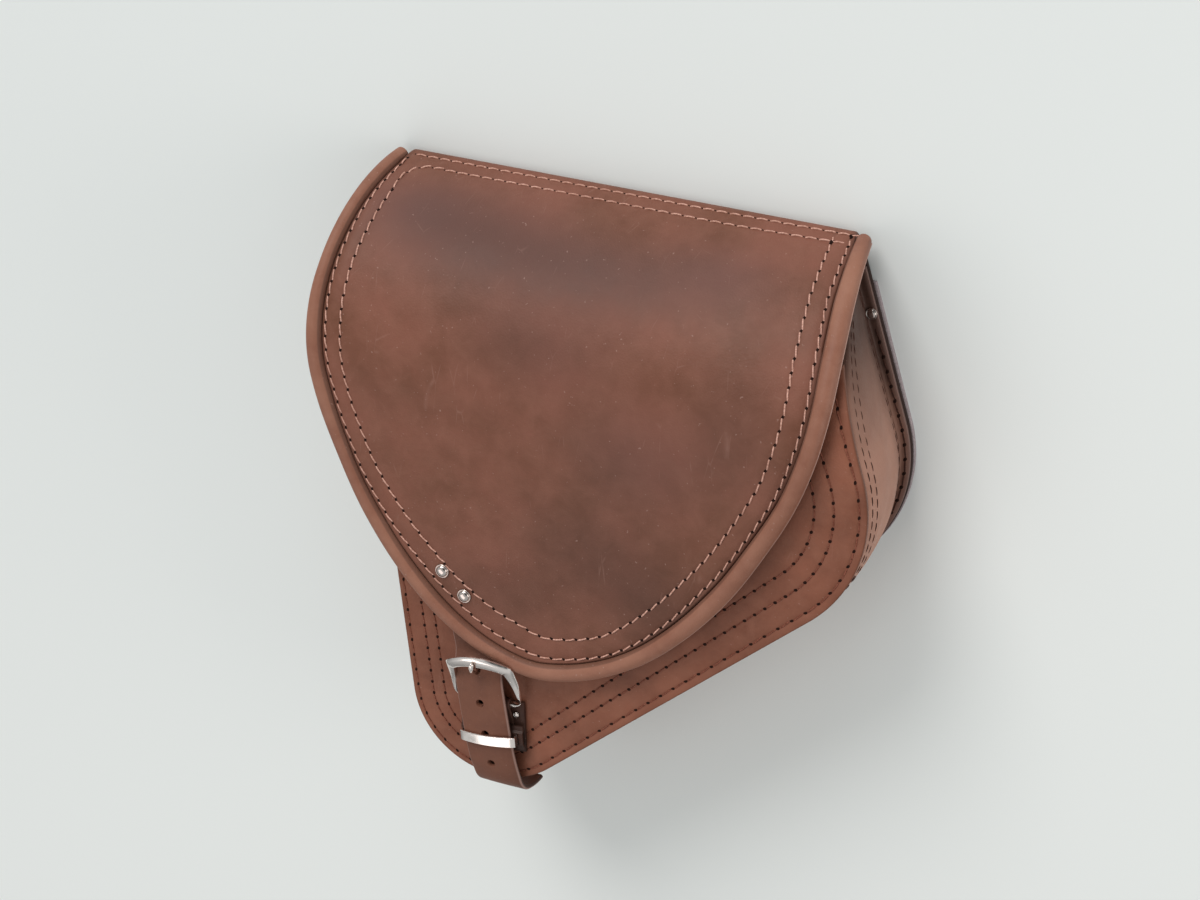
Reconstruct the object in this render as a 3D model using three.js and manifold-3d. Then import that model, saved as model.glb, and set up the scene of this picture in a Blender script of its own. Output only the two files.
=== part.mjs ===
// Motorcycle saddlebag: a single-side leather bag with a rounded lid, lying on its back.
//
// Frame while building: X to the bag's right, Y up the bag towards the lid's hinge edge, and Z out of
// the back through the front, in millimetres. The finished group is then moved so that its origin is
// the middle of the underside of its box.
//
// The bag is sewn from flat leather: a back panel on a reinforcement, a gusset that runs down one side,
// round the tip, along the slanted bottom and up the other side, a front panel, and a lid that folds
// over the back panel's top edge. A leather roll follows the lid's free edge. A riveted strap closes
// the lid through a buckle and a metal keeper.
import * as THREE from 'three';
import { mergeVertices } from 'three/addons/utils/BufferGeometryUtils.js';
import Module from 'manifold-3d';

const wasm = await Module();
wasm.setup();

// ---------------------------------------------------------------- driving dimensions, in millimetres

const gap = 0.3; // air between neighbouring pieces
const degree = Math.PI / 180;

// Panels: a straight top, a rounded tip at the lower left and a rounded corner at the right.
const topY = 300;
const topLeftX = -118;
const backTopRightX = 125;
const frontTopRightX = 119;
const tipCorner = new THREE.Vector2(-57.7, -61.5);
const tipRadius = 48.1;
const sideCorner = new THREE.Vector2(177.6, 165.3);
const sideRadius = 74.4;
const cornerSteps = 14;
const bagDepth = 80; // underside of the reinforcement to the face of the front panel

// Leather thicknesses
const reinforcementThickness = 2.4;
const backThickness = 2.6;
const gussetThickness = 2.4;
const frontThickness = 3;
const lidThickness = 2.6;
const strapThickness = 2.4;
const tabThickness = 1.6;
const keeperTabThickness = 1;

// Gusset: flanged outwards on the back panel and inwards behind the front panel.
const backFlange = 6.5;
const frontFlange = 12.5;
const edgeSetback = 0.4;
const gussetBulge = 4.2; // how far the middle of the wall stands out of the straight line
const wallSteps = 4;

// Lid, measured along the leather from its fold over the back panel
const returnLength = 26; // the part turned down behind the back panel
const returnHalfWidth = 122;
const foldRadius = 3; // at mid thickness
const backTopDrop = 1.7; // the back panel's top edge below the middle of the fold
const hingeSlope = 8.8 * degree; // how far the lid already falls where the fold ends
const browRadius = 97.3; // the wide bend from the top to the front, at mid thickness

// How far the finished lid reaches to each side, with the roll, at distances along it from the fold
const lidOutline = [
  { along: -2, left: 127.8, right: 129.1 },
  { along: 20, left: 130.4, right: 132.1 },
  { along: 50, left: 133.4, right: 135.6 },
  { along: 80, left: 135.8, right: 138.4 },
  { along: 106, left: 136.7, right: 139.2 },
  { along: 130, left: 134.4, right: 136.5 },
  { along: 156, left: 127.6, right: 129.2 },
  { along: 184, left: 115.6, right: 116.6 },
  { along: 212, left: 101, right: 101.4 },
  { along: 238, left: 82.1, right: 82.2 },
  { along: 260, left: 60.1, right: 60.1 },
  { along: 275, left: 36.8, right: 36.8 },
  { along: 283, left: 15.4, right: 15.4 },
  { along: 285.2, left: 0, right: 0 },
];

// Roll along the lid's free edge, with a tongue sewn under the lid
const rollWidth = 9.4;
const rollHeight = 8.2;
const rollLift = 0.5; // its middle above the lid's mid thickness
const tongueLength = 13;
const rollStart = 8.6; // where it begins, along the lid from the fold
const frontTopY = 259; // the front panel's top edge, bent back under the lid

// Clasp: the strap, buckle, keeper and tab share one slanted axis on the front panel.
const claspX = -26.7;
const claspY = 36.4; // height of the buckle's hinge bar
const claspTilt = 8 * degree;
const strapWidth = 28.2;
const strapShift = -0.6; // at the hinge bar
const strapLean = 0.06; // how far it leans to the left for each millimetre up, and as much again under the lid
const tipSkew = 0.1; // how much its curled end turns
const holeRadius = 2.7;
const holePitch = 18.5;
const firstHole = 21;
const holeCount = 4;
const hingeBarRadius = 1.5;
const buckleTilt = 19 * degree;
const prongRadius = 1.1;
const tabLoopWidth = 27;
const tabWidth = 37; // of its lower layer
const tabShift = 1.8;
const tabLength = 29;
const tabTaper = 1.4;
const keeperAt = -19;
const keeperWidth = 6;
const keeperOuter = 32;
const keeperInner = 30.4;
const claspArch = 2; // how far the strap's and the keeper's sides lie below their middle

// Rivets
const rivetCapRadius = 3.8;
const rivetCapHeight = 2;
const rivetShankRadius = 1.2;
const rivetHoleRadius = 1.6;
const lidRivets = [
  { x: -54.2, along: 236.3 },
  { x: -41.1, along: 247.5 },
];
const gussetRivetY = 264.7;
const gussetRivetInset = 3.5;
const gussetRivetRadius = 2.9;
const tabRivetRadius = 1.9;
const tabRivets = [
  { name: 'tab_rivet_left', side: -15.4, up: -6.6 },
  { name: 'tab_rivet_right', side: 15.4, up: -6.6 },
];

// ---------------------------------------------------------------- heights worked out from the above

const backZ = reinforcementThickness + gap;
const flangeZ = backZ + backThickness + gap;
const frontZ = bagDepth - frontThickness;
const frontFlangeZ = frontZ - gap - gussetThickness;
const foldY = topY - foldRadius - 0.6; // centre of the lid's fold
const tabZ = bagDepth + gap;
const hingeBarZ = tabZ + tabThickness + gap + hingeBarRadius;

// ---------------------------------------------------------------- materials

function leather(colour, roughness) {
  return new THREE.MeshStandardMaterial({ color: colour, roughness, metalness: 0 });
}

const brownLeather = () => leather(0x7a5245, 0.62);
const sideLeather = () => leather(0x8f6a5c, 0.58);
const darkLeather = () => leather(0x4d362e, 0.66);
const rawLeather = () => leather(0x8a7c7c, 0.85);
const nickel = () => new THREE.MeshStandardMaterial({ color: 0xd8d2cc, roughness: 0.18, metalness: 1 });

// ---------------------------------------------------------------- making closed bodies

/** Turns a body's faces outwards when its signed volume is negative. */
function facingOut(geometry) {
  const index = geometry.getIndex();
  const position = geometry.getAttribute('position');
  const a = new THREE.Vector3();
  const b = new THREE.Vector3();
  const c = new THREE.Vector3();
  let volume = 0;
  for (let i = 0; i < index.count; i += 3) {
    a.fromBufferAttribute(position, index.getX(i));
    b.fromBufferAttribute(position, index.getX(i + 1));
    c.fromBufferAttribute(position, index.getX(i + 2));
    volume += a.dot(b.cross(c));
  }
  if (volume < 0) {
    const turned = Array.from(index.array).reverse();
    geometry.setIndex(turned);
  }
  return geometry;
}

/** A body through rings of equal length: capped at both ends, or joined up when it is a loop. */
function loft(rings, section, loop = false) {
  const size = section.length;
  const positions = rings.flat().flatMap((point) => [point.x, point.y, point.z]);
  const index = [];
  const spans = loop ? rings.length : rings.length - 1;
  for (let i = 0; i < spans; i++) {
    const here = i * size;
    const next = ((i + 1) % rings.length) * size;
    for (let j = 0; j < size; j++) {
      const k = (j + 1) % size;
      index.push(here + j, next + j, next + k);
      index.push(here + j, next + k, here + k);
    }
  }
  if (!loop) {
    const last = (rings.length - 1) * size;
    const forwards = !THREE.ShapeUtils.isClockWise(section);
    for (const [p, q, r] of THREE.ShapeUtils.triangulateShape(section, [])) {
      const [first, second] = forwards ? [q, r] : [r, q];
      index.push(p, first, second);
      index.push(last + p, last + second, last + first);
    }
  }
  const geometry = new THREE.BufferGeometry();
  geometry.setAttribute('position', new THREE.Float32BufferAttribute(positions, 3));
  geometry.setIndex(index);
  return facingOut(geometry);
}

/** A flat piece of leather with this outline, from height z up by its thickness. */
function plate(outline, z, thickness) {
  const options = { depth: thickness, bevelEnabled: false };
  return new THREE.ExtrudeGeometry(new THREE.Shape(outline), options).translate(0, 0, z);
}

/** A body of constant section, drawn across (first axis along the clasp, second axis Z) and centred. */
function claspProfile(outline, width, shift = 0) {
  const options = { depth: width, bevelEnabled: false };
  const geometry = new THREE.ExtrudeGeometry(new THREE.Shape(outline), options);
  const across = new THREE.Vector3(0, 1, 0);
  const up = new THREE.Vector3(0, 0, 1);
  geometry.applyMatrix4(new THREE.Matrix4().makeBasis(across, up, new THREE.Vector3(1, 0, 0)));
  return geometry.translate(shift - width / 2, 0, 0);
}

function solid(geometry) {
  const bare = geometry.clone();
  bare.deleteAttribute('normal');
  bare.deleteAttribute('uv');
  const merged = mergeVertices(bare, 1e-4);
  const mesh = new wasm.Mesh({
    numProp: 3,
    vertProperties: new Float32Array(merged.getAttribute('position').array),
    triVerts: new Uint32Array(merged.getIndex().array),
  });
  return new wasm.Manifold(mesh);
}

function surface(body) {
  const mesh = body.getMesh();
  const geometry = new THREE.BufferGeometry();
  geometry.setAttribute('position', new THREE.Float32BufferAttribute(mesh.vertProperties, 3));
  geometry.setIndex(Array.from(mesh.triVerts));
  return geometry;
}

function cut(geometry, ...tools) {
  return surface(tools.reduce((body, tool) => body.subtract(solid(tool)), solid(geometry)));
}

/** A round pin along Z, used as a drill. */
function drill(x, y, z, radius, length, sides = 16) {
  const geometry = new THREE.CylinderGeometry(radius, radius, length, sides);
  return geometry.rotateX(Math.PI / 2).translate(x, y, z);
}

// ---------------------------------------------------------------- panel outline

/** Points and outward normals round a corner of this radius between two straight sides. */
function roundedCorner(before, corner, after, radius) {
  const back = before.clone().sub(corner).normalize();
  const onward = after.clone().sub(corner).normalize();
  const half = Math.acos(back.dot(onward)) / 2;
  const inward = back.clone().add(onward).normalize();
  const centre = corner.clone().addScaledVector(inward, radius / Math.sin(half));
  const start = corner.clone().addScaledVector(back, radius / Math.tan(half)).sub(centre).angle();
  const turn = Math.PI - 2 * half;
  return Array.from({ length: cornerSteps + 1 }, (_, i) => {
    const angle = start + (turn * i) / cornerSteps;
    const normal = new THREE.Vector2(Math.cos(angle), Math.sin(angle));
    return { point: centre.clone().addScaledVector(normal, radius), normal };
  });
}

/** Stations down the left side, round the tip, along the bottom, round the side corner and up. */
function panelStations(topRightX) {
  const topLeft = new THREE.Vector2(topLeftX, topY);
  const topRight = new THREE.Vector2(topRightX, topY);
  const tip = roundedCorner(topLeft, tipCorner, sideCorner, tipRadius);
  const side = roundedCorner(tipCorner, sideCorner, topRight, sideRadius);
  return [
    { point: topLeft, normal: tip[0].normal },
    ...tip,
    ...side,
    { point: topRight, normal: side[side.length - 1].normal },
  ];
}

/** The closed outline of a panel whose top edge is straight at the given height. */
function panelOutline(topRightX, height, inset = 0) {
  const points = panelStations(topRightX).map(({ point, normal }) => {
    return point.clone().addScaledVector(normal, -inset);
  });
  const trim = (end, next) => {
    const share = (height - end.y) / (next.y - end.y);
    return end.clone().lerp(next, share);
  };
  const last = points.length - 1;
  const left = trim(points[0], points[1]);
  const right = trim(points[last], points[last - 1]);
  return [left, ...points.slice(1, last), right];
}

// ---------------------------------------------------------------- lid surface

const foldTurn = Math.PI / 2 + hingeSlope;
const foldLength = foldRadius * foldTurn;
const browLength = browRadius * (Math.PI / 2 - hingeSlope);
const foldCentre = { y: foldY, z: lidThickness / 2 + foldRadius };
const browCentre = {
  y: foldCentre.y + (foldRadius - browRadius) * Math.cos(hingeSlope),
  z: foldCentre.z + (foldRadius - browRadius) * Math.sin(hingeSlope),
};
const lidFrontZ = browCentre.z + browRadius; // mid thickness of the hanging front

/** A point of the lid: across, along from the fold, and above its mid thickness. */
function lidPoint(x, along, lift) {
  if (along <= 0) return new THREE.Vector3(x, foldY + along, lidThickness / 2 - lift);
  if (along < foldLength) {
    const slope = along / foldRadius - Math.PI / 2;
    const radius = foldRadius + lift;
    const y = foldCentre.y + radius * Math.cos(slope);
    return new THREE.Vector3(x, y, foldCentre.z + radius * Math.sin(slope));
  }
  if (along < foldLength + browLength) {
    const slope = hingeSlope + (along - foldLength) / browRadius;
    const radius = browRadius + lift;
    const y = browCentre.y + radius * Math.cos(slope);
    return new THREE.Vector3(x, y, browCentre.z + radius * Math.sin(slope));
  }
  return new THREE.Vector3(x, browCentre.y - (along - foldLength - browLength), lidFrontZ + lift);
}

// The finished lid's edge, from its upper left corner round the lowest point to its upper right corner
const lidLeft = lidOutline.map(({ along, left }) => new THREE.Vector3(-left, along, 0));
const lidRight = lidOutline.map(({ along, right }) => new THREE.Vector3(right, along, 0));
const lidCurve = new THREE.CatmullRomCurve3([...lidLeft.slice(0, -1), ...lidRight.reverse()]);
lidCurve.arcLengthDivisions = 1200;

/** A point of the lid's edge on the flat leather and the normal that leaves the lid there. */
function lidEdgeStation(share) {
  const point = lidCurve.getPointAt(share);
  const tangent = lidCurve.getTangentAt(share);
  return { point, normal: new THREE.Vector3(-tangent.y, tangent.x, 0) };
}

/** Half of the leather's edge, inside the roll, from the fold down; the sign picks the side. */
function leatherEdge(sign) {
  return Array.from({ length: 301 }, (_, i) => {
    const { point, normal } = lidEdgeStation(sign < 0 ? i / 600 : 1 - i / 600);
    return point.addScaledVector(normal, -(rollWidth + gap));
  });
}

const leatherLeft = leatherEdge(-1);
const leatherRight = leatherEdge(1);

/** The leather's edge across the lid at a distance along it. */
function leatherReach(edge, along) {
  if (along <= edge[0].y) return edge[0].x;
  const next = edge.findIndex((point) => point.y >= along);
  if (next < 0) return edge[edge.length - 1].x;
  const low = edge[next - 1];
  const high = edge[next];
  return low.x + ((high.x - low.x) * (along - low.y)) / (high.y - low.y);
}

/** A body of constant section (first axis Z, second axis Y) that reaches right across the bag. */
function acrossBag(outline) {
  const width = 500;
  const options = { depth: width, bevelEnabled: false };
  const geometry = new THREE.ExtrudeGeometry(new THREE.Shape(outline), options);
  const zAxis = new THREE.Vector3(0, 0, 1);
  const yAxis = new THREE.Vector3(0, 1, 0);
  geometry.applyMatrix4(new THREE.Matrix4().makeBasis(zAxis, yAxis, new THREE.Vector3(-1, 0, 0)));
  return geometry.translate(width / 2, 0, 0);
}

/** Everything above a skin round the brow, kept free by what lies under it. */
function clearanceTool(radius) {
  const steps = 24;
  const outline = [new THREE.Vector2(-20, topY + 60)];
  for (let i = 0; i <= steps; i++) {
    const slope = (Math.PI / 2) * (i / steps);
    const z = browCentre.z + radius * Math.sin(slope);
    outline.push(new THREE.Vector2(z, browCentre.y + radius * Math.cos(slope)));
  }
  outline[1].x = -20;
  outline.push(new THREE.Vector2(bagDepth + 40, browCentre.y), new THREE.Vector2(bagDepth + 40, topY + 60));
  return acrossBag(outline);
}

/** A sheet across the bag: level up to the brow, then bent back round it under the lid. */
function bentSheet(faceZ, thickness, endY) {
  const steps = 16;
  const outer = faceZ - browCentre.z;
  const arc = (radius) => {
    const last = Math.asin((endY - browCentre.y) / outer);
    return Array.from({ length: steps + 1 }, (_, i) => {
      const slope = (last * i) / steps;
      return new THREE.Vector2(browCentre.z + radius * Math.cos(slope), browCentre.y + radius * Math.sin(slope));
    });
  };
  const low = tipCorner.y - 20;
  const face = [new THREE.Vector2(faceZ, low), ...arc(outer)];
  const back = [new THREE.Vector2(faceZ - thickness, low), ...arc(outer - thickness)];
  return acrossBag([...face, ...back.reverse()]);
}

// ---------------------------------------------------------------- body of the bag

function gussetRivetPlaces() {
  const outline = panelOutline(backTopRightX, gussetRivetY, gussetRivetInset);
  return { left: outline[0], right: outline[outline.length - 1] };
}

function rivetDrills(radius) {
  const { left, right } = gussetRivetPlaces();
  return [left, right].map((place) => drill(place.x, place.y, flangeZ, radius, 40));
}

function reinforcementGeometry() {
  const height = foldY - returnLength - 2 * gap;
  const outline = panelOutline(backTopRightX + 0.6, height);
  return cut(plate(outline, 0, reinforcementThickness), ...rivetDrills(rivetHoleRadius));
}

function backGeometry() {
  const outline = panelOutline(backTopRightX, foldY - backTopDrop, edgeSetback);
  return cut(plate(outline, backZ, backThickness), ...rivetDrills(rivetHoleRadius));
}

function frontGeometry() {
  const blank = solid(plate(panelOutline(frontTopRightX, topY - 10), 0, bagDepth + 10));
  return surface(blank.intersect(solid(bentSheet(bagDepth, frontThickness, frontTopY))));
}

/** The gusset's section as {inset, z, share}: share 0 follows the back outline, 1 the front one. */
function gussetSection() {
  const wall = (inside) => {
    const low = inside ? flangeZ : flangeZ + gussetThickness;
    const high = inside ? frontFlangeZ : frontFlangeZ + gussetThickness;
    const extra = inside ? gussetThickness : 0;
    return Array.from({ length: wallSteps + 1 }, (_, i) => {
      const share = i / wallSteps;
      const straight = THREE.MathUtils.lerp(backFlange, edgeSetback, share);
      const inset = straight + extra - gussetBulge * 4 * share * (1 - share);
      return { inset, z: THREE.MathUtils.lerp(low, high, share), share };
    });
  };
  return [
    { inset: edgeSetback, z: flangeZ, share: 0 },
    { inset: edgeSetback, z: flangeZ + gussetThickness, share: 0 },
    ...wall(false),
    { inset: frontFlange, z: frontFlangeZ + gussetThickness, share: 1 },
    { inset: frontFlange, z: frontFlangeZ, share: 1 },
    ...wall(true).reverse(),
  ];
}

function gussetGeometry() {
  const back = panelStations(backTopRightX);
  const front = panelStations(frontTopRightX);
  const section = gussetSection();
  const rings = back.map((station, i) => section.map(({ inset, z, share }) => {
    const point = station.point.clone().lerp(front[i].point, share);
    const normal = station.normal.clone().lerp(front[i].normal, share).normalize();
    point.addScaledVector(normal, -inset);
    return new THREE.Vector3(point.x, point.y, z);
  }));
  const flat = section.map(({ inset, z }) => new THREE.Vector2(-inset, z));
  const faceZ = frontZ - gap;
  const wall = solid(loft(rings, flat)).subtract(solid(clearanceTool(faceZ - browCentre.z)));
  const rim = solid(plate(panelOutline(frontTopRightX, topY - 10, edgeSetback + 0.5), 0, bagDepth));
  const inside = solid(plate(panelOutline(frontTopRightX, topY, frontFlange), -1, bagDepth + 2));
  const below = solid(new THREE.BoxGeometry(500, 500, 300).translate(0, browCentre.y - 250, 0));
  const flanges = solid(bentSheet(faceZ, gussetThickness, frontTopY));
  const bent = flanges.intersect(rim).subtract(inside).subtract(below);
  return cut(surface(wall.add(bent)), ...rivetDrills(rivetHoleRadius));
}

// ---------------------------------------------------------------- lid and its roll

function lidRivetDrills(radius) {
  return lidRivets.map(({ x, along }) => {
    const place = lidPoint(x, along, 0);
    return drill(x, place.y, place.z, radius, 20);
  });
}

function lidGeometry() {
  const steps = (from, to, count) => Array.from({ length: count }, (_, i) => from + ((to - from) * i) / count);
  const browEnd = foldLength + browLength;
  const lowest = Math.min(leatherLeft[300].y, leatherRight[300].y);
  const hangSteps = 20;
  const hang = Array.from({ length: hangSteps }, (_, i) => {
    return browEnd + (lowest - browEnd) * Math.sin((Math.PI / 2) * (i / hangSteps));
  });
  const rows = [...steps(0, foldLength, 6), ...steps(foldLength, browEnd, 20), ...hang];
  const half = lidThickness / 2;
  const ring = (left, right, along) => [
    lidPoint(left, along, half),
    lidPoint(right, along, half),
    lidPoint(right, along, -half),
    lidPoint(left, along, -half),
  ];
  const rings = [
    ring(-returnHalfWidth, returnHalfWidth, -returnLength),
    ring(-returnHalfWidth, returnHalfWidth, -2),
    ...rows.map((along) => ring(leatherReach(leatherLeft, along), leatherReach(leatherRight, along), along)),
  ];
  const section = [[-1, 1], [1, 1], [1, -1], [-1, -1]].map(([x, y]) => new THREE.Vector2(x, y));
  return cut(loft(rings, section), ...lidRivetDrills(rivetHoleRadius));
}

/** The roll with its tongue: distance outside the leather's edge, and lift above its mid thickness. */
function rollSection() {
  const top = -lidThickness / 2 - gap;
  const bottom = rollLift - rollHeight / 2;
  const from = Math.PI - Math.asin((top - rollLift) / (rollHeight / 2));
  const to = -Math.PI / 2;
  const steps = 11;
  const round = Array.from({ length: steps + 1 }, (_, i) => {
    const angle = from + ((to - from) * i) / steps;
    const out = gap + (rollWidth / 2) * (1 + Math.cos(angle));
    return new THREE.Vector2(out, rollLift + (rollHeight / 2) * Math.sin(angle));
  });
  return [new THREE.Vector2(-tongueLength, top), ...round, new THREE.Vector2(-tongueLength, bottom)];
}

function rollGeometry() {
  const steps = 70;
  const ends = rollStart / lidCurve.getLength();
  const section = rollSection();
  const rings = Array.from({ length: steps + 1 }, (_, i) => {
    const { point, normal } = lidEdgeStation(ends + ((1 - 2 * ends) * i) / steps);
    return section.map(({ x: out, y: lift }) => {
      const flat = point.clone().addScaledVector(normal, out - rollWidth - gap);
      return lidPoint(flat.x, flat.y, lift);
    });
  });
  return cut(loft(rings, section), ...lidRivetDrills(rivetHoleRadius));
}

// ---------------------------------------------------------------- clasp

// The strap's way from its riveted end to its curled tip: height on the clasp's axis, and mid height.
const strapWay = [
  { up: 80, z: 81.8 },
  { up: 54, z: 81.8 },
  { up: 40, z: 81.8 },
  { up: 34, z: 81.7 },
  { up: 30, z: 82.1 },
  { up: 27, z: 83.4 },
  { up: 24, z: 85.6 },
  { up: 20.6, z: 87.9 },
  { up: 15, z: 89.7 },
  { up: 6, z: 90.2 },
  { up: -8, z: 90.1 },
  { up: -22, z: 89.7 },
  { up: -32, z: 88.9 },
  { up: -40, z: 87.3 },
  { up: -47, z: 84.4 },
  { up: -51.6, z: 79.4 },
  { up: -53.8, z: 73.2 },
  { up: -55, z: 67 },
  { up: -55.4, z: 61 },
];

/** How far the strap's middle lies to the side at a height on the clasp's axis. */
function strapSide(up) {
  return strapShift - strapLean * (up + Math.max(up - 25, 0));
}

/** How much the strap is arched across at a height: flat under the lid and at its tip. */
function strapArch(up) {
  return claspArch * THREE.MathUtils.smoothstep(27 - up, 0, 10) * THREE.MathUtils.smoothstep(up, -54, -40);
}

function strapGeometry() {
  const way = new THREE.CatmullRomCurve3(strapWay.map(({ up, z }) => new THREE.Vector3(0, up, z)));
  const steps = 44;
  const half = strapWidth / 2;
  const across = [-1, -0.6, -0.2, 0.2, 0.6, 1];
  const top = across.map((x) => new THREE.Vector2(x, 1));
  const section = [...top, ...top.map(({ x }) => new THREE.Vector2(x, -1)).reverse()];
  const rings = Array.from({ length: steps + 1 }, (_, i) => {
    const point = way.getPointAt(i / steps);
    const tangent = way.getTangentAt(i / steps);
    const normal = new THREE.Vector3(0, tangent.z, -tangent.y);
    return section.map(({ x, y }) => {
      const lift = (y * strapThickness) / 2 - strapArch(point.y) * x * x;
      const place = point.clone().addScaledVector(normal, lift);
      place.x = strapSide(point.y) + x * half;
      place.y -= tipSkew * x * half * THREE.MathUtils.smoothstep(-point.y, 32, 48);
      return place;
    });
  });
  const holes = Array.from({ length: holeCount }, (_, i) => {
    const up = firstHole - i * holePitch;
    return drill(strapSide(up), up, bagDepth + 8, holeRadius, 16);
  });
  const rivetHoles = lidRivets.map(({ x, along }) => {
    const place = new THREE.Vector2(x - claspX, lidPoint(x, along, 0).y - claspY);
    place.rotateAround(new THREE.Vector2(), -claspTilt);
    return drill(place.x, place.y, bagDepth, rivetHoleRadius, 12);
  });
  return cut(loft(rings, section), ...holes, ...rivetHoles);
}

/** Half of the buckle's frame, from the hinge bar's middle to the top bar's middle, in its own plane. */
const frameWay = [
  { x: 0, y: 0, lift: 0, width: 3, depth: 3 },
  { x: 16.4, y: 0, lift: 0, width: 3, depth: 3 },
  { x: 18.6, y: 0.4, lift: 0, width: 1.6, depth: 2 },
  { x: 18.8, y: 7, lift: 0.1, width: 1.8, depth: 2.4 },
  { x: 18.7, y: 15, lift: 0.3, width: 2.2, depth: 2.6 },
  { x: 18.1, y: 22, lift: 0.6, width: 3.4, depth: 2.6 },
  { x: 16.9, y: 25.6, lift: 1.3, width: 4.4, depth: 2.6 },
  { x: 12, y: 29.2, lift: 1.7, width: 5, depth: 2.6 },
  { x: 6, y: 31.3, lift: 1.9, width: 5.8, depth: 2.6 },
  { x: 0, y: 32, lift: 2, width: 6, depth: 2.6 },
];
const frameShift = 1.4;
const frameArch = 1.3; // how far its sides lie below its middle, above the hinge bar

function frameGeometry() {
  const mirrored = frameWay.slice(1, -1).reverse().map((row) => ({ ...row, x: -row.x }));
  const rows = [...frameWay, ...mirrored];
  const chamfer = 0.3;
  const corners = [
    [-1, chamfer], [-chamfer, 1], [chamfer, 1], [1, chamfer],
    [1, -chamfer], [chamfer, -1], [-chamfer, -1], [-1, -chamfer],
  ].map(([x, y]) => new THREE.Vector2(x, y));
  const rings = rows.map((row, i) => {
    const before = rows[(i + rows.length - 1) % rows.length];
    const after = rows[(i + 1) % rows.length];
    const across = new THREE.Vector2(after.y - before.y, before.x - after.x).normalize();
    return corners.map((corner) => {
      const side = (corner.x * row.width) / 2;
      return new THREE.Vector3(
        row.x + across.x * side,
        row.y + across.y * side,
        row.lift + (corner.y * row.depth) / 2,
      );
    });
  });
  const geometry = loft(rings, corners, true);
  const position = geometry.getAttribute('position');
  for (let i = 0; i < position.count; i++) {
    const share = THREE.MathUtils.smoothstep(position.getY(i), 1, 16);
    const drop = frameArch * share * (position.getX(i) / frameWay[3].x) ** 2;
    position.setZ(i, position.getZ(i) - drop);
  }
  return geometry;
}

// The prong's way from the hinge bar, up through the strap's first hole and over the top bar
const prongWay = [
  { side: -0.6, up: 2.4, z: 83.7 },
  { side: -1.2, up: 10, z: 83.7 },
  { side: -1.8, up: 16.6, z: 84.2 },
  { side: -1.9, up: 20, z: 86 },
  { side: -1.8, up: 21.3, z: 90 },
  { side: -1.2, up: 23, z: 94.6 },
  { side: 0, up: 25.4, z: 97.8 },
  { side: 1.1, up: 30.6, z: 99.4 },
];

function prongGeometry() {
  const way = new THREE.CatmullRomCurve3(prongWay.map(({ side, up, z }) => new THREE.Vector3(side, up, z)));
  const circle = new THREE.Shape().absarc(0, 0, prongRadius, 0, 2 * Math.PI);
  const options = { extrudePath: way, steps: 22, curveSegments: 5 };
  const wire = new THREE.ExtrudeGeometry(circle, options);
  const inner = hingeBarRadius + gap + 0.1;
  const outer = inner + 1.1;
  const half = 1.8;
  const wall = [[inner, -half], [outer, -half], [outer, half], [inner, half], [inner, -half]];
  const eye = new THREE.LatheGeometry(wall.map(([x, y]) => new THREE.Vector2(x, y)), 16);
  eye.rotateZ(Math.PI / 2).translate(prongWay[0].side, 0, hingeBarZ);
  const bore = new THREE.CylinderGeometry(inner, inner, 4 * half, 16);
  bore.rotateZ(Math.PI / 2).translate(prongWay[0].side, 0, hingeBarZ);
  return surface(solid(wire).add(solid(eye)).subtract(solid(bore)));
}

/** A leather tab folded round the hinge bar, both layers lying on the front panel below it. */
function tabGeometry() {
  const inner = hingeBarRadius + gap;
  const outer = inner + tabThickness;
  const slope = -9; // where the upper layer has come down onto the lower one
  const upperZ = tabZ + tabThickness + gap;
  const arc = (radius, from, to) => Array.from({ length: 9 }, (_, i) => {
    const angle = from + ((to - from) * i) / 8;
    return new THREE.Vector2(radius * Math.cos(angle), hingeBarZ + radius * Math.sin(angle));
  });
  const quarter = Math.PI / 2;
  const outline = [
    new THREE.Vector2(-tabLength, tabZ),
    ...arc(outer, -quarter, quarter),
    new THREE.Vector2(slope, upperZ + tabThickness),
    new THREE.Vector2(-tabLength + 2, upperZ + tabThickness),
    new THREE.Vector2(-tabLength + 2, upperZ),
    new THREE.Vector2(slope, upperZ),
    ...arc(inner, quarter, -quarter),
    new THREE.Vector2(-tabLength, tabZ + tabThickness),
  ];
  const base = [
    new THREE.Vector2(tabShift - tabWidth / 2 + tabTaper, -tabLength),
    new THREE.Vector2(tabShift + tabWidth / 2 - tabTaper, -tabLength),
    new THREE.Vector2(tabShift + tabWidth / 2, 1),
    new THREE.Vector2(tabShift - tabWidth / 2, 1),
  ];
  const slot = new THREE.BoxGeometry(5.4, 11, 12).translate(prongWay[0].side, 1.5, hingeBarZ);
  const whole = solid(claspProfile(outline, tabLoopWidth)).add(solid(plate(base, tabZ, tabThickness)));
  const drills = tabRivets.map(({ side, up }) => solid(drill(side, up, tabZ, rivetHoleRadius, 10, 12)));
  return surface(drills.reduce((body, tool) => body.subtract(tool), whole.subtract(solid(slot))));
}

const tabTopZ = tabZ + 2 * tabThickness + gap;
const keeperBackZ = tabTopZ + gap;
const keeperBack = 1;
const keeperFront = 1.5;
const keeperShift = 1.3;
const keeperTopZ = 92.9; // the middle of its front bar's outer face

/** The keeper's outer or inner outline: a flat back, two upright sides and an arched front. */
function keeperOutline(path, halfWidth, low, high) {
  const steps = 10;
  path.moveTo(-halfWidth, low);
  path.lineTo(halfWidth, low);
  for (let i = 0; i <= steps; i++) {
    const across = 1 - (2 * i) / steps;
    path.lineTo(halfWidth * across, high - claspArch * across * across);
  }
  path.closePath();
  return path;
}

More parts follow.
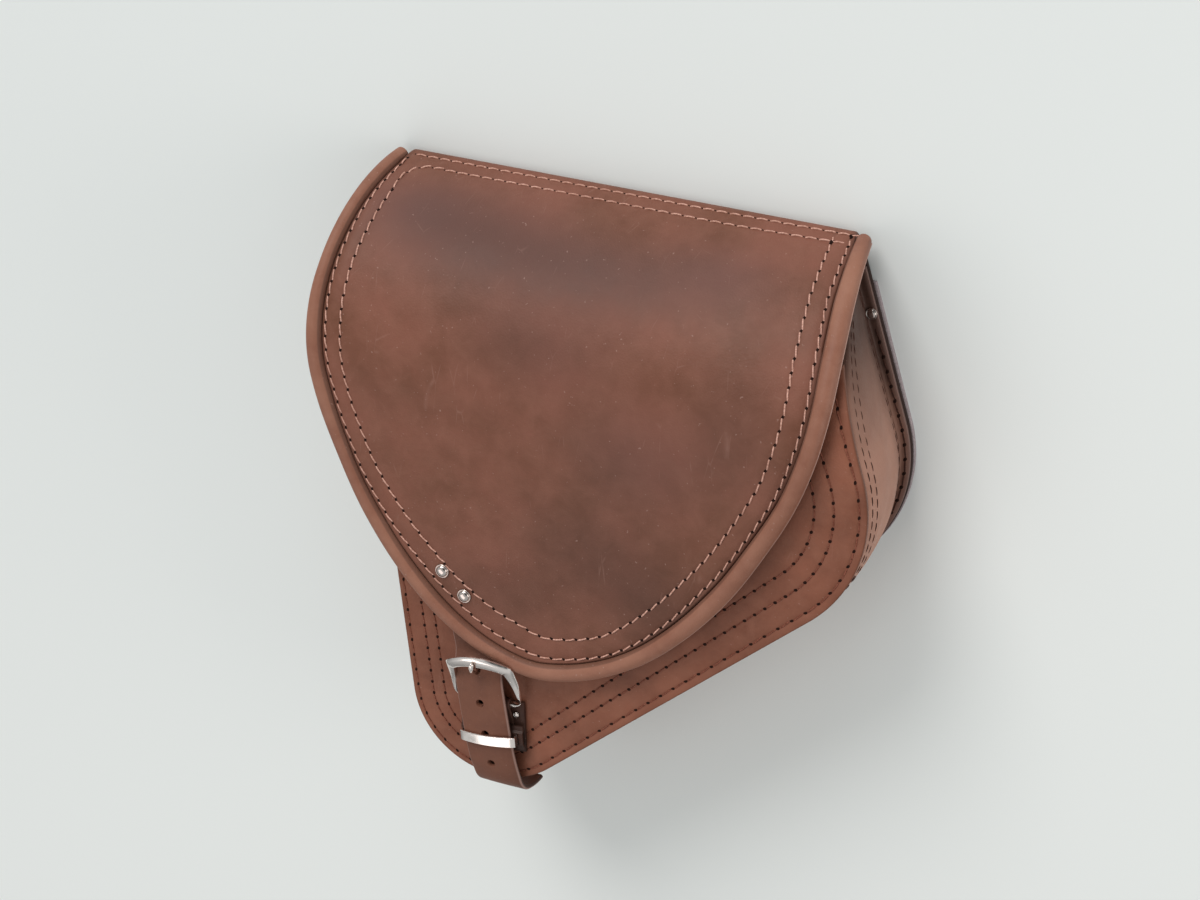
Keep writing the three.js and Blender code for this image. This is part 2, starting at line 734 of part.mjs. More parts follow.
function keeperGeometry() {
  const outline = keeperOutline(new THREE.Shape(), keeperOuter / 2, keeperBackZ, keeperTopZ);
  const low = keeperBackZ + keeperBack;
  outline.holes.push(keeperOutline(new THREE.Path(), keeperInner / 2, low, keeperTopZ - keeperFront));
  const options = { depth: keeperWidth, bevelEnabled: false, curveSegments: 4 };
  const geometry = new THREE.ExtrudeGeometry(outline, options);
  return geometry.rotateX(Math.PI / 2).translate(keeperShift, keeperAt + keeperWidth / 2, 0);
}

/** A thin leather bridge over the keeper's back bar, sewn down on the tab above and below it. */
function keeperTabGeometry() {
  const low = keeperBackZ;
  const high = keeperBackZ + keeperBack + gap;
  const reach = keeperWidth / 2 + 0.6;
  const foot = 3.4;
  const thick = keeperTabThickness;
  const rows = [
    [-reach - foot, low], [-reach - 0.6, low], [-reach + 0.4, high], [reach - 0.4, high],
    [reach + 0.6, low], [reach + foot, low], [reach + foot, low + thick], [reach + 1, low + thick],
    [reach - 0.1, high + thick], [-reach + 0.1, high + thick], [-reach - 1, low + thick],
    [-reach - foot, low + thick],
  ];
  const outline = rows.map(([along, z]) => new THREE.Vector2(keeperAt + along, z));
  const slots = [-1, 1].map((side) => {
    const wall = (keeperOuter + keeperInner) / 4;
    const width = (keeperOuter - keeperInner) / 2 + 2 * gap;
    const slot = new THREE.BoxGeometry(width, keeperWidth + 2 * gap, 12);
    return slot.translate(keeperShift + side * wall, keeperAt, high);
  });
  return cut(claspProfile(outline, tabWidth - 1, tabShift), ...slots);
}

// ---------------------------------------------------------------- rivets

/** A domed rivet along Z: its cap sits at zero, and its shank reaches down. */
function rivetGeometry(capRadius, capHeight, shankLength) {
  const domeSteps = 6;
  const dome = Array.from({ length: domeSteps + 1 }, (_, i) => {
    const angle = (Math.PI / 2) * (i / domeSteps);
    return new THREE.Vector2(capRadius * Math.cos(angle), 0.3 + (capHeight - 0.3) * Math.sin(angle));
  });
  dome[domeSteps].x = 0;
  const rows = [[0, -shankLength], [rivetShankRadius, -shankLength], [rivetShankRadius, 0], [capRadius, 0]];
  const profile = [...rows.map(([x, y]) => new THREE.Vector2(x, y)), ...dome];
  return new THREE.LatheGeometry(profile, 16).rotateX(Math.PI / 2);
}

// ---------------------------------------------------------------- assembly

function piece(name, geometry, material) {
  const mesh = new THREE.Mesh(geometry, material);
  mesh.name = name;
  return mesh;
}

const bag = new THREE.Group();
bag.add(
  piece('back_reinforcement', reinforcementGeometry(), rawLeather()),
  piece('back_panel', backGeometry(), darkLeather()),
  piece('gusset', gussetGeometry(), sideLeather()),
  piece('front_panel', frontGeometry(), brownLeather()),
  piece('lid', lidGeometry(), brownLeather()),
  piece('lid_roll', rollGeometry(), sideLeather()),
);

const clasp = new THREE.Group();
clasp.position.set(claspX, claspY, 0);
clasp.rotation.z = claspTilt;
const frame = piece('buckle_frame', frameGeometry(), nickel());
frame.position.set(frameShift, 0, hingeBarZ);
frame.rotation.x = buckleTilt;
clasp.add(
  piece('closing_strap', strapGeometry(), darkLeather()),
  piece('buckle_tab', tabGeometry(), darkLeather()),
  piece('keeper_tab', keeperTabGeometry(), darkLeather()),
  piece('strap_keeper', keeperGeometry(), nickel()),
  piece('buckle_prong', prongGeometry(), nickel()),
  frame,
);
tabRivets.forEach(({ name, side, up }) => {
  const rivet = piece(name, rivetGeometry(tabRivetRadius, 1.2, tabThickness), nickel());
  rivet.position.set(side, up, tabZ + tabThickness + gap);
  clasp.add(rivet);
});
bag.add(clasp);

lidRivets.forEach(({ x, along }, i) => {
  const rivet = piece(
    `lid_rivet_${i + 1}`,
    rivetGeometry(rivetCapRadius, rivetCapHeight, lidFrontZ + lidThickness / 2 - bagDepth - 0.6),
    nickel(),
  );
  rivet.position.copy(lidPoint(x, along, lidThickness / 2 + gap));
  bag.add(rivet);
});

for (const [side, place] of Object.entries(gussetRivetPlaces())) {
  const height = flangeZ + gussetThickness + gap;
  const geometry = rivetGeometry(gussetRivetRadius, 1.7, height - 0.5);
  const rivet = piece(`gusset_rivet_${side}`, geometry, nickel());
  rivet.position.set(place.x, place.y, height);
  bag.add(rivet);
}

// The origin is the middle of the underside.
const box = new THREE.Box3().setFromObject(bag);
const middle = box.getCenter(new THREE.Vector3());
bag.position.set(-middle.x, -middle.y, -box.min.z);
bag.updateMatrixWorld(true);

export default bag;
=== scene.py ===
# Motorcycle saddlebag, finished for the picture: a single-side bag of waxed pull-up leather lying on
# its back, with a rolled lid edge, saddle stitching and a nickel buckle.
import math
from functools import partial

import bmesh
import bpy
import numpy as np
from mathutils import Matrix, Vector


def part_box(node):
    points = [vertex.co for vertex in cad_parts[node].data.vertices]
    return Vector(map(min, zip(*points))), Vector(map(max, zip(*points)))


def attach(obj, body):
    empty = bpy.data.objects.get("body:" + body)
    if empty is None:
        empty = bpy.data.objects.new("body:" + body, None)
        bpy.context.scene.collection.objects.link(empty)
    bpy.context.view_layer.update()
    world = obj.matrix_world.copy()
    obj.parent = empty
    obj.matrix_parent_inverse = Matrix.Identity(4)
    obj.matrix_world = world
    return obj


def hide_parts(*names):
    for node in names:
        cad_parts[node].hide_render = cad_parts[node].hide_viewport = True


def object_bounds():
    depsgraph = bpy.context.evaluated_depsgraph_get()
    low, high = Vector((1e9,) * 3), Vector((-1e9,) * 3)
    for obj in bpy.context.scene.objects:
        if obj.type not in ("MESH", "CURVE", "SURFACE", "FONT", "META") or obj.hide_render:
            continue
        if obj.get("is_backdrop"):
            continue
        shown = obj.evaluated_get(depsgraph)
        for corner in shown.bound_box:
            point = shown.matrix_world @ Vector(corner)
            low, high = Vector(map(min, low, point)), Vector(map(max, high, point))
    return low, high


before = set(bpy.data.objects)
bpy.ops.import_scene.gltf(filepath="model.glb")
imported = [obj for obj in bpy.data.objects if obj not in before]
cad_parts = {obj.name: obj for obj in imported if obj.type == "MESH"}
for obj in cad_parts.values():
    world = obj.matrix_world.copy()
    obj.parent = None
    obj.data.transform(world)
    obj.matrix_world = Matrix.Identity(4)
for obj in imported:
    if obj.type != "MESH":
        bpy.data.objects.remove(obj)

cad_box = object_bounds()

# ------------------------------------------------------------------ pattern sizes, in millimetres
# The pattern frame has X to the bag's right, Y up the bag to the lid's hinge edge and Z out of the
# front. It is the bag's frame, moved by `shift`.

MM = 0.001
GAP = 0.3
TOP = 300.0
TOP_LEFT = -118.0
BACK_TOP_RIGHT = 125.0
FRONT_TOP_RIGHT = 119.0
TIP = ((-57.7, -61.5), 48.1)
SIDE = ((177.6, 165.3), 74.4)
DEPTH = 80.0
REINFORCEMENT = 2.4
BACK = 2.6
GUSSET = 2.4
FRONT = 3.0
LID = 2.6
STRAP = 2.4
BACK_Z = REINFORCEMENT + GAP
FLANGE_Z = BACK_Z + BACK + GAP
FLANGE_TOP = FLANGE_Z + GUSSET
FRONT_FLANGE_Z = DEPTH - FRONT - GAP - GUSSET
FRONT_TOP_Y = 257.0

FOLD_RADIUS = 3.0
FOLD_Y = TOP - FOLD_RADIUS - 0.6
HINGE_SLOPE = math.radians(8.8)
BROW_RADIUS = 97.3
BROW_Y = FOLD_Y + (FOLD_RADIUS - BROW_RADIUS) * math.cos(HINGE_SLOPE)
BROW_Z = LID / 2 + FOLD_RADIUS + (FOLD_RADIUS - BROW_RADIUS) * math.sin(HINGE_SLOPE)
FOLD_LENGTH = FOLD_RADIUS * (math.pi / 2 + HINGE_SLOPE)
BROW_LENGTH = BROW_RADIUS * (math.pi / 2 - HINGE_SLOPE)
LID_Z = BROW_Z + BROW_RADIUS


def under_brow(y, z):
    """The height of a level sheet at z once it is bent back round the brow under the lid."""
    return np.where(y > BROW_Y, np.sqrt((z - BROW_Z) ** 2 - np.clip(y - BROW_Y, 0, None) ** 2) + BROW_Z, z)


# the finished lid with its roll: distance along the leather from the fold, reach left and right
LID_OUTLINE = np.array([
    (-2, 127.8, 129.1), (20, 130.4, 132.1), (50, 133.4, 135.6), (80, 135.8, 138.4), (106, 136.7, 139.2),
    (130, 134.4, 136.5), (156, 127.6, 129.2), (184, 115.6, 116.6), (212, 101, 101.4), (238, 82.1, 82.2),
    (260, 60.1, 60.1), (275, 36.8, 36.8), (283, 15.4, 15.4), (285.2, 0, 0),
])
ROLL_WIDTH = 9.4
ROLL_HEIGHT = 8.2
ROLL_LIFT = 0.5
ROLL_START = 8.6

# from the lid's upper left end round to its upper right: share of the edge, and the distances inside it
# of the roll's crease and of the outer and inner stitch rows
LID_ROWS = np.array([
    (0.00, 8.6, 10.8, 18.0), (0.04, 8.3, 10.6, 18.0), (0.08, 7.6, 9.6, 17.8), (0.12, 7.4, 9.4, 17.6),
    (0.17, 8.8, 11.0, 19.4), (0.22, 9.6, 11.9, 19.9), (0.28, 8.6, 10.8, 19.8), (0.325, 9.7, 12.6, 22.9),
    (0.37, 9.7, 14.6, 25.4), (0.42, 9.7, 15.6, 27.0), (0.475, 9.7, 15.2, 28.0), (0.525, 9.7, 12.9, 24.4),
    (0.57, 9.2, 11.2, 21.8), (0.62, 9.4, 11.7, 22.4), (0.67, 9.7, 12.7, 22.4), (0.72, 9.4, 11.6, 20.8),
    (0.775, 8.9, 11.0, 20.2), (0.83, 8.9, 11.0, 20.9), (0.87, 9.6, 12.0, 22.0), (0.925, 9.7, 12.8, 21.3),
    (0.97, 8.4, 10.4, 19.0), (1.00, 7.4, 9.4, 17.6),
])

CLASP = (-26.7, 36.4)
CLASP_TILT = math.radians(8)
HINGE_BAR = 1.5
TAB = 1.6
TAB_Z = DEPTH + GAP
HINGE_BAR_Z = TAB_Z + TAB + GAP + HINGE_BAR
BUCKLE_TILT = math.radians(19)


# ------------------------------------------------------------------ pattern curves

def unit(ways):
    """The same ways, each of length one."""
    return ways / np.linalg.norm(ways, axis=-1, keepdims=True)


def sampled(at, places, points):
    """Points between the given ones, column by column, at other places along them."""
    return np.stack([np.interp(at, places, column) for column in np.transpose(points)], 1)


def circle(count):
    """Angles at even steps round a circle."""
    return np.linspace(0, 2 * math.pi, count, endpoint=False)


def even(points, step=None, count=None):
    """The same open way with points at even distances."""
    points = np.asarray(points, float)
    length = np.r_[0, np.cumsum(np.linalg.norm(np.diff(points, axis=0), axis=1))]
    count = count or max(2, int(round(length[-1] / step)) + 1)
    return sampled(np.linspace(0, length[-1], count), length, points)


def flowing(points, per_span=40):
    """A smooth way through the points (centripetal Catmull-Rom)."""
    p = np.asarray(points, float)
    p = np.vstack([2 * p[0] - p[1], p, 2 * p[-1] - p[-2]])
    knots = np.r_[0, np.cumsum(np.sqrt(np.linalg.norm(np.diff(p, axis=0), axis=1)))]
    way = []
    for i in range(1, len(p) - 2):
        t = np.linspace(knots[i], knots[i + 1], per_span, endpoint=False)[:, None]
        t0, t1, t2, t3 = knots[i - 1:i + 3]
        a1 = (t1 - t) / (t1 - t0) * p[i - 1] + (t - t0) / (t1 - t0) * p[i]
        a2 = (t2 - t) / (t2 - t1) * p[i] + (t - t1) / (t2 - t1) * p[i + 1]
        a3 = (t3 - t) / (t3 - t2) * p[i + 1] + (t - t2) / (t3 - t2) * p[i + 2]
        b1 = (t2 - t) / (t2 - t0) * a1 + (t - t0) / (t2 - t0) * a2
        b2 = (t3 - t) / (t3 - t1) * a2 + (t - t1) / (t3 - t1) * a3
        way.append((t2 - t) / (t2 - t1) * b1 + (t - t1) / (t2 - t1) * b2)
    return np.vstack(way + [p[-2:-1]])


def rounded(before, corner, after, radius, steps=60):
    """The arc that rounds a corner: its points and outward normals."""
    before, corner, after = (np.array(v, float) for v in (before, corner, after))
    back = (before - corner) / np.linalg.norm(before - corner)
    onward = (after - corner) / np.linalg.norm(after - corner)
    half = math.acos(back @ onward) / 2
    middle = (back + onward) / np.linalg.norm(back + onward)
    centre = corner + middle * radius / math.sin(half)
    start = corner + back * radius / math.tan(half) - centre
    angle = math.atan2(start[1], start[0]) + np.linspace(0, math.pi - 2 * half, steps)
    normal = np.stack([np.cos(angle), np.sin(angle)], 1)
    return centre + normal * radius, normal


def panel_edge(top_right, top_y=TOP, step=2.0):
    """The panel's edge from its upper left end round the tip and the side corner to its upper right.

    Gives points, outward normals and, for each, its place on a scale that has 0 at the upper left,
    1 and 2 at the ends of the tip's arc, 3 and 4 at those of the side's, and 5 at the upper right.
    """
    left, right = (TOP_LEFT, TOP), (top_right, TOP)
    tip, tip_normal = rounded(left, TIP[0], SIDE[0], TIP[1])
    side, side_normal = rounded(TIP[0], SIDE[0], right, SIDE[1])

    def line(a, b, normal, low, high):
        share = np.linspace(0, 1, max(3, int(np.linalg.norm(np.subtract(b, a)) / step)))
        points = np.outer(1 - share, a) + np.outer(share, b)
        return points, np.tile(normal, (len(share), 1)), low + (high - low) * share

    first = np.array(left) + (tip[0] - left) * (TOP - top_y) / (TOP - tip[0][1])
    last = np.array(right) + (side[-1] - right) * (TOP - top_y) / (TOP - side[-1][1])
    spans = [
        line(first, tip[0], tip_normal[0], 0, 1),
        (tip[1:], tip_normal[1:], np.linspace(1, 2, len(tip))[1:]),
        tuple(part[1:] for part in line(tip[-1], side[0], side_normal[0], 2, 3)),
        (side[1:], side_normal[1:], np.linspace(3, 4, len(side))[1:]),
        tuple(part[1:] for part in line(side[-1], last, side_normal[-1], 4, 5)),
    ]
    return tuple(np.concatenate([span[k] for span in spans]) for k in range(3))


def lid_point(x, along, lift):
    """Points of the lid: across, along from the fold, and above its mid thickness."""
    x, along, lift = np.broadcast_arrays(*(np.asarray(v, float) for v in (x, along, lift)))
    fold = along / FOLD_RADIUS - math.pi / 2
    brow = HINGE_SLOPE + (along - FOLD_LENGTH) / BROW_RADIUS
    kinds = [along <= 0, along < FOLD_LENGTH, along < FOLD_LENGTH + BROW_LENGTH]
    y = np.select(kinds, [
        FOLD_Y + along,
        FOLD_Y + (FOLD_RADIUS + lift) * np.cos(fold),
        BROW_Y + (BROW_RADIUS + lift) * np.cos(brow),
    ], BROW_Y - (along - FOLD_LENGTH - BROW_LENGTH))
    z = np.select(kinds, [
        LID / 2 - lift,
        LID / 2 + FOLD_RADIUS + (FOLD_RADIUS + lift) * np.sin(fold),
        BROW_Z + (BROW_RADIUS + lift) * np.sin(brow),
    ], LID_Z + lift)
    return np.stack([x, y, z], -1)


lid_left = LID_OUTLINE[:, [1, 0]] * (-1, 1)
lid_right = LID_OUTLINE[:, [2, 0]]
lid_edge = even(flowing(np.vstack([lid_left[:-1], lid_right[::-1]])), count=1200)
lid_edge_length = np.linalg.norm(np.diff(lid_edge, axis=0), axis=1).sum()
tangent = unit(np.gradient(lid_edge, axis=0))
lid_edge_normal = np.stack([-tangent[:, 1], tangent[:, 0]], 1)


def lid_inset(kind, shares):
    """The distance inside the lid's edge of the roll's crease or of a stitch row, at shares of the edge."""
    return np.interp(shares, LID_ROWS[:, 0], LID_ROWS[:, ("share", "crease", "outer", "inner").index(kind)])


def lid_line(inset, shares):
    """Points on the flat lid leather at a distance inside its finished edge."""
    at = np.asarray(shares) * (len(lid_edge) - 1)
    point, normal = (sampled(at, np.arange(len(lid_edge)), part) for part in (lid_edge, lid_edge_normal))
    return point - normal * np.reshape(inset, (-1, 1))


# ------------------------------------------------------------------ making pieces

front_edge = panel_edge(FRONT_TOP_RIGHT)[0]
low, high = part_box("front_panel")
shift = np.array([high.x / MM - front_edge[:, 0].max(), low.y / MM - front_edge[:, 1].min(), 0.0])


def from_clasp(points):
    """Clasp places (side, up, z) in the pattern frame."""
    points = np.asarray(points, float)
    cos, sin = math.cos(CLASP_TILT), math.sin(CLASP_TILT)
    x = CLASP[0] + points[..., 0] * cos - points[..., 1] * sin
    y = CLASP[1] + points[..., 0] * sin + points[..., 1] * cos
    return np.stack([x, y, points[..., 2]], -1)


def new_object(name, data):
    """An object of the scene that holds this data."""
    made = bpy.data.objects.new(name, data)
    bpy.context.scene.collection.objects.link(made)
    return made


def finish_piece(name, mesh, material, nodes):
    """The piece of this mesh, on the bag's one body, in place of its CAD nodes."""
    piece = new_object(name, mesh)
    if material:
        mesh.materials.append(material)
    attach(piece, "root")
    if nodes:
        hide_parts(*nodes)


def make_mesh(name, points, faces, marks=None, sharp=40):
    """A mesh from pattern points and faces, with its faces outwards and a number per point in each mark."""
    mesh = bpy.data.meshes.new(name)
    spots = (np.reshape(points, (-1, 3)) + shift) * MM
    mesh.from_pydata(spots.tolist(), [], [list(map(int, face)) for face in faces])
    for mark, values in (marks or {}).items():
        values = np.ravel(values).astype(np.float32)
        mesh.attributes.new(mark, "FLOAT", "POINT").data.foreach_set("value", values)
    turned = bmesh.new()
    turned.from_mesh(mesh)
    bmesh.ops.recalc_face_normals(turned, faces=turned.faces)
    if turned.calc_volume(signed=True) < 0:
        bmesh.ops.reverse_faces(turned, faces=turned.faces)
    turned.to_mesh(mesh)
    turned.free()
    mesh.shade_smooth()
    mesh.set_sharp_from_angle(angle=math.radians(sharp))
    return mesh


def with_modifier(mesh, kind, settings, inputs=None):
    """A plain mesh: the given one with a modifier worked in."""
    blank = new_object("blank", mesh)
    modifier = blank.modifiers.new("work", kind)
    for key, value in settings.items():
        setattr(modifier, key, value)
    for socket, value in (inputs or {}).items():
        modifier[socket] = value
    bpy.context.view_layer.update()
    graph = bpy.context.evaluated_depsgraph_get()
    made = bpy.data.meshes.new_from_object(
        blank.evaluated_get(graph), preserve_all_data_layers=True, depsgraph=graph
    )
    bpy.data.objects.remove(blank)
    return made


def tube_faces(rings, size, loop=False, caps=True):
    """Faces of a body through `rings` rings of `size` points each."""
    faces = []
    for i in range(rings if loop else rings - 1):
        here, after = i * size, (i + 1) % rings * size
        for j in range(size):
            k = (j + 1) % size
            faces.append((here + j, here + k, after + k, after + j))
    if caps and not loop:
        faces.append(tuple(range(size))[::-1])
        faces.append(tuple((rings - 1) * size + j for j in range(size)))
    return faces


def waves(points, size, amount, seed):
    """Gentle unevenness: a fixed sum of slow waves over the places of the points."""
    random = np.random.default_rng(seed)
    total = np.zeros(points.shape[:-1])
    for _ in range(7):
        direction = random.normal(size=points.shape[-1])
        direction /= np.linalg.norm(direction)
        length = size * random.uniform(0.6, 1.6)
        total += np.sin(points @ direction * 2 * math.pi / length + random.uniform(0, 6.3))
    return total * amount / 7 * 1.9


# ------------------------------------------------------------------ nodes

def srgb(code):
    """A six-digit sRGB hex colour as linear RGBA."""
    parts = [int(code[i:i + 2], 16) / 255 for i in (1, 3, 5)]
    return (*(p / 12.92 if p <= 0.04045 else ((p + 0.055) / 1.055) ** 2.4 for p in parts), 1.0)


def connect(node, **inputs):
    """Gives a node's inputs constants, hex colours, sockets or nodes (i6 is input number 6, _ a space)."""
    for key, value in inputs.items():
        socket = node.inputs[int(key[1:]) if key[1:].isdigit() else key.replace("_", " ")]
        if isinstance(value, bpy.types.Node):
            value = next(out for out in value.outputs if out.enabled)
        if isinstance(value, bpy.types.NodeSocket):
            node.id_data.links.new(value, socket)
        else:
            socket.default_value = srgb(value) if str(value).startswith("#") else value
    return node


def add_node(tree, kind, settings=None, **inputs):
    """A node with its settings and its inputs."""
    made = tree.nodes.new(kind)
    for key, value in (settings or {}).items():
        setattr(made, key, value)
    return connect(made, **inputs)


def start_tree(owner):
    """Clears the nodes of a material or world and gives what adds one there."""
    owner.use_nodes = True
    owner.node_tree.nodes.clear()
    return partial(add_node, owner.node_tree)


def new_material(name):
    """A material, what adds its nodes, its shader, and the Object coordinates that its patterns lie on."""
    material = bpy.data.materials.new(name)
    add = start_tree(material)
    shader = add("ShaderNodeBsdfPrincipled")
    add("ShaderNodeOutputMaterial", i0=shader)
    return material, add, shader, add("ShaderNodeTexCoord").outputs["Object"]


COLOURS = {"data_type": "RGBA"}


def per_mm(size):
    """The scale that makes a pattern repeat about every `size` millimetres."""
    return 1 / (size * MM)


# Waxed pull-up leather: full-grain hide with oil and wax, matt to the eye with a soft sheen, cloudy
# where it was bent or rubbed, with fine grain, hairline scratches and small pale specks. The grain of
# about 0.5 mm is drawn at 1 mm so that it shows.
def pull_up_leather(part, deep, main, bloom, edge_dye="#2a1712", cloud=55, scratch=0.1):
    material, add, shader, place = new_material("waxed_pull_up_leather_" + part)
    clouds, veins, spots, specks, dents, fine = (
        add(
            "ShaderNodeTexNoise", Vector=place, Scale=per_mm(size), Detail=detail, Roughness=rough,
            Distortion=bend,
        )
        for size, detail, rough, bend in (
            (cloud, 4, 0.6, 0), (13, 6, 0.65, 0.4), (16, 2, 0.5, 0), (1.6, 1, 0.5, 0), (9, 3, 0.5, 0),
            (0.9, 3, 0.6, 0),
        )
    )
    grain = add("ShaderNodeTexVoronoi", {"feature": "F1"}, Vector=place, Scale=per_mm(1.1), Randomness=1.0)
    # hairline scratches, seldom
    stretched = add("ShaderNodeMapping", Vector=place, Rotation=(0.3, 0.2, 0.9), Scale=(1.0, 0.16, 0.6))
    hair = add("ShaderNodeTexVoronoi", {"feature": "DISTANCE_TO_EDGE"}, Vector=stretched, Scale=per_mm(9))
    cloudy, veined, pores, line, seldom, few, gloss = (
        add("ShaderNodeMapRange", Value=value, i1=low, i2=high, i3=start, i4=end)
        for value, low, high, start, end in (
            (clouds, 0.36, 0.64, 0, 1), (veins, 0.4, 0.7, 0, 0.35), (grain, 0, 0.35, 0.12, 0),
            (hair, 0, 0.02, 1, 0), (spots, 0.58, 0.7, 0, scratch), (specks, 0.73, 0.8, 0, 0.4),
            (clouds, 0.3, 0.7, 0.48, 0.63),
        )
    )
    scratches = add("ShaderNodeMath", {"operation": "MULTIPLY"}, i0=line, i1=seldom)
    # marked on the mesh: grey bloom, partly a painted sheen; darkening, partly cloudy mottle and partly painted shade
    # in creases, stitch furrows and under the lid; dyed edges and rubbed raw ones
    grey, dark, edge, raw = (
        add("ShaderNodeAttribute", {"attribute_name": mark}).outputs["Fac"]
        for mark in ("bloom", "dark", "edge", "raw")
    )
    colour = add("ShaderNodeMix", COLOURS, i0=cloudy, i6=deep, i7=main)
    # 72504a is the grey bloom with painted sheen, #3a261f the mottle with painted shade
    for share, code in (
        (veined, bloom), (grey, "#72504a"), (dark, "#3a261f"), (pores, deep), (scratches, "#a98478"),
        (few, "#a98a80"), (edge, edge_dye), (raw, "#b08d82"),
    ):
        colour = add("ShaderNodeMix", COLOURS, i0=share, i6=colour, i7=code)
    # fine grain over pores over soft dents
    bump = add("ShaderNodeBump", Strength=0.35, Distance=0.0006, Height=dents)
    bump = add("ShaderNodeBump", Strength=0.35, Distance=0.00022, Height=grain, Normal=bump)
    bump = add("ShaderNodeBump", Strength=0.4, Distance=0.00018, Height=fine, Normal=bump)
    connect(
        shader, Base_Color=colour, Roughness=gloss, Normal=bump, Specular_IOR_Level=0.27, IOR=1.45,
        Sheen_Weight=0.03, Sheen_Roughness=0.5, Sheen_Tint="#cdb6ae",
    )
    return material


# Raw flesh side of split leather: pale grey-brown and fuzzy, with loose fibres about 0.4 mm across.
def raw_split(name, dark, pale):
    material, add, shader, place = new_material(name)
    fibres = add("ShaderNodeTexNoise", Vector=place, Scale=per_mm(0.9), Detail=5.0, Roughness=0.7)
    felt = add("ShaderNodeTexNoise", Vector=place, Scale=per_mm(14), Detail=3.0)
    share = add("ShaderNodeMapRange", Value=fibres, i1=0.35, i2=0.65)
    greyed = add("ShaderNodeMix", COLOURS, i0=share, i6=dark, i7=pale)
    colour = add("ShaderNodeMix", COLOURS, i0=felt, i6=greyed, i7=dark)
    bump = add("ShaderNodeBump", Strength=0.8, Distance=0.0004, Height=fibres)
    connect(shader, Base_Color=colour, Normal=bump, Roughness=0.95)
    return material


# Nickel-plated zinc, polished: a warm white mirror with rub marks that spread the highlights a little.
def polished_nickel(name, tint="#efe6e1", roughness=0.14):
    material, add, shader, place = new_material(name)
    rubs = add("ShaderNodeTexNoise", Vector=place, Scale=per_mm(3), Detail=5.0, Roughness=0.7)
    gloss = add("ShaderNodeMapRange", Value=rubs, i1=0.3, i2=0.7, i3=roughness * 0.7, i4=roughness * 1.7)
    tarnish = add("ShaderNodeTexNoise", Vector=place, Scale=per_mm(7), Detail=3.0)
    share = add("ShaderNodeMapRange", Value=tarnish, i1=0.55, i2=0.8, i3=0.0, i4=0.3)
    bump = add("ShaderNodeBump", Strength=0.15, Distance=0.0001, Height=rubs)
    colour = add("ShaderNodeMix", COLOURS, i0=share, i6=tint, i7="#a89c92")
    connect(shader, Base_Color=colour, Roughness=gloss, Normal=bump, Metallic=1.0)
    return material


# Waxed polyester thread, three plies: pinkish tan with a soft shine, soiled where it was handled.
def waxed_thread(name, main, shade):
    material, add, shader, place = new_material(name)
    plies = add("ShaderNodeTexNoise", Vector=place, Scale=per_mm(0.8), Detail=2.0)
    soil = add("ShaderNodeTexNoise", Vector=place, Scale=per_mm(25), Detail=2.0)
    share = add("ShaderNodeMapRange", Value=plies, i1=0.35, i2=0.65)
    dirty = add("ShaderNodeMapRange", Value=soil, i1=0.45, i2=0.7, i3=0.0, i4=0.5)
    plied = add("ShaderNodeMix", COLOURS, i0=share, i6=shade, i7=main)
    colour = add("ShaderNodeMix", COLOURS, i0=dirty, i6=plied, i7=shade)
    bump = add("ShaderNodeBump", Strength=0.4, Distance=0.0001, Height=plies)
    connect(shader, Base_Color=colour, Normal=bump, Roughness=0.7, Specular_IOR_Level=0.15)
    return material


# Needle holes: near-black lenses laid on the leather, painted shade of the holes, with the hide's dark inner fibres.
def awl_cut(name):
    material, add, shader, place = new_material(name)
    fibres = add("ShaderNodeTexNoise", Vector=place, Scale=per_mm(0.5), Detail=2.0)
    colour = add("ShaderNodeMix", COLOURS, i0=fibres, i6="#150b09", i7="#2b1812")
    connect(shader, Base_Color=colour, Roughness=0.9, Specular_IOR_Level=0.1)
    return material


lid_leather = pull_up_leather("lid", "#68402f", "#7e4f40", "#8a5d4d", scratch=0.2)
body_leather = pull_up_leather("front", "#6f412f", "#85523f", "#8f604d", "#54301f", 38, 0.15)
roll_leather = pull_up_leather("roll", "#815443", "#926552", "#9c705e", cloud=45)
gusset_leather = pull_up_leather("gusset", "#966b5a", "#a77c6a", "#b28877", cloud=60, scratch=0.05)
strap_leather = pull_up_leather("strap", "#5f3b2e", "#704737", "#7a5140", cloud=30)
dark_leather = pull_up_leather("dark", "#2f1d17", "#46291f", "#4d332a", cloud=30)
split_leather = raw_split("raw_split_leather", "#8b7d80", "#cdc0c2")
nickel = polished_nickel("polished_nickel")
# a darker copy of the nickel for the lid rivets and the right gusset rivet: painted shade in their reflections
shaded_rivet_nickel = polished_nickel("polished_nickel_rivets_shaded", "#c9beb8", 0.1)
lid_thread = waxed_thread("waxed_thread_tan", "#d9ac9c", "#a97b6b")
worn_thread = waxed_thread("waxed_thread_worn", "#8c5545", "#633628")
dark_thread = waxed_thread("waxed_thread_dark", "#4a2c23", "#35201a")
needle_hole = awl_cut("awl_cut")


# ------------------------------------------------------------------ panels

def plate_piece(node, top_right, top_y, profile, material, marks, shape=None):
    """A flat panel through rings that lie at an inset and a height; its middle is closed flat."""
    points, normals, at = panel_edge(top_right, top_y)
    rings = []
    for inset, z in profile:
        distance = inset(at) if callable(inset) else np.full(len(points), float(inset))
        side = points - normals * distance[:, None]
        for end in (0, -1):
            side[end, 1] = top_y - min(distance[end], 1.2)
        across = np.linspace(0, 1, 40)[1:-1, None]
        flat = np.vstack([side, side[-1] * (1 - across) + side[0] * across])
        rings.append(np.column_stack([flat, np.full(len(flat), float(z))]))
    size = len(rings[0])
    marks = {mark: np.repeat(values, size) for mark, values in marks.items()}
    mesh = make_mesh(node + "_leather", rings, tube_faces(len(rings), size), marks)
    if shape:
        shape(mesh)
    finish_piece(node + "_leather", mesh, material, (node,))


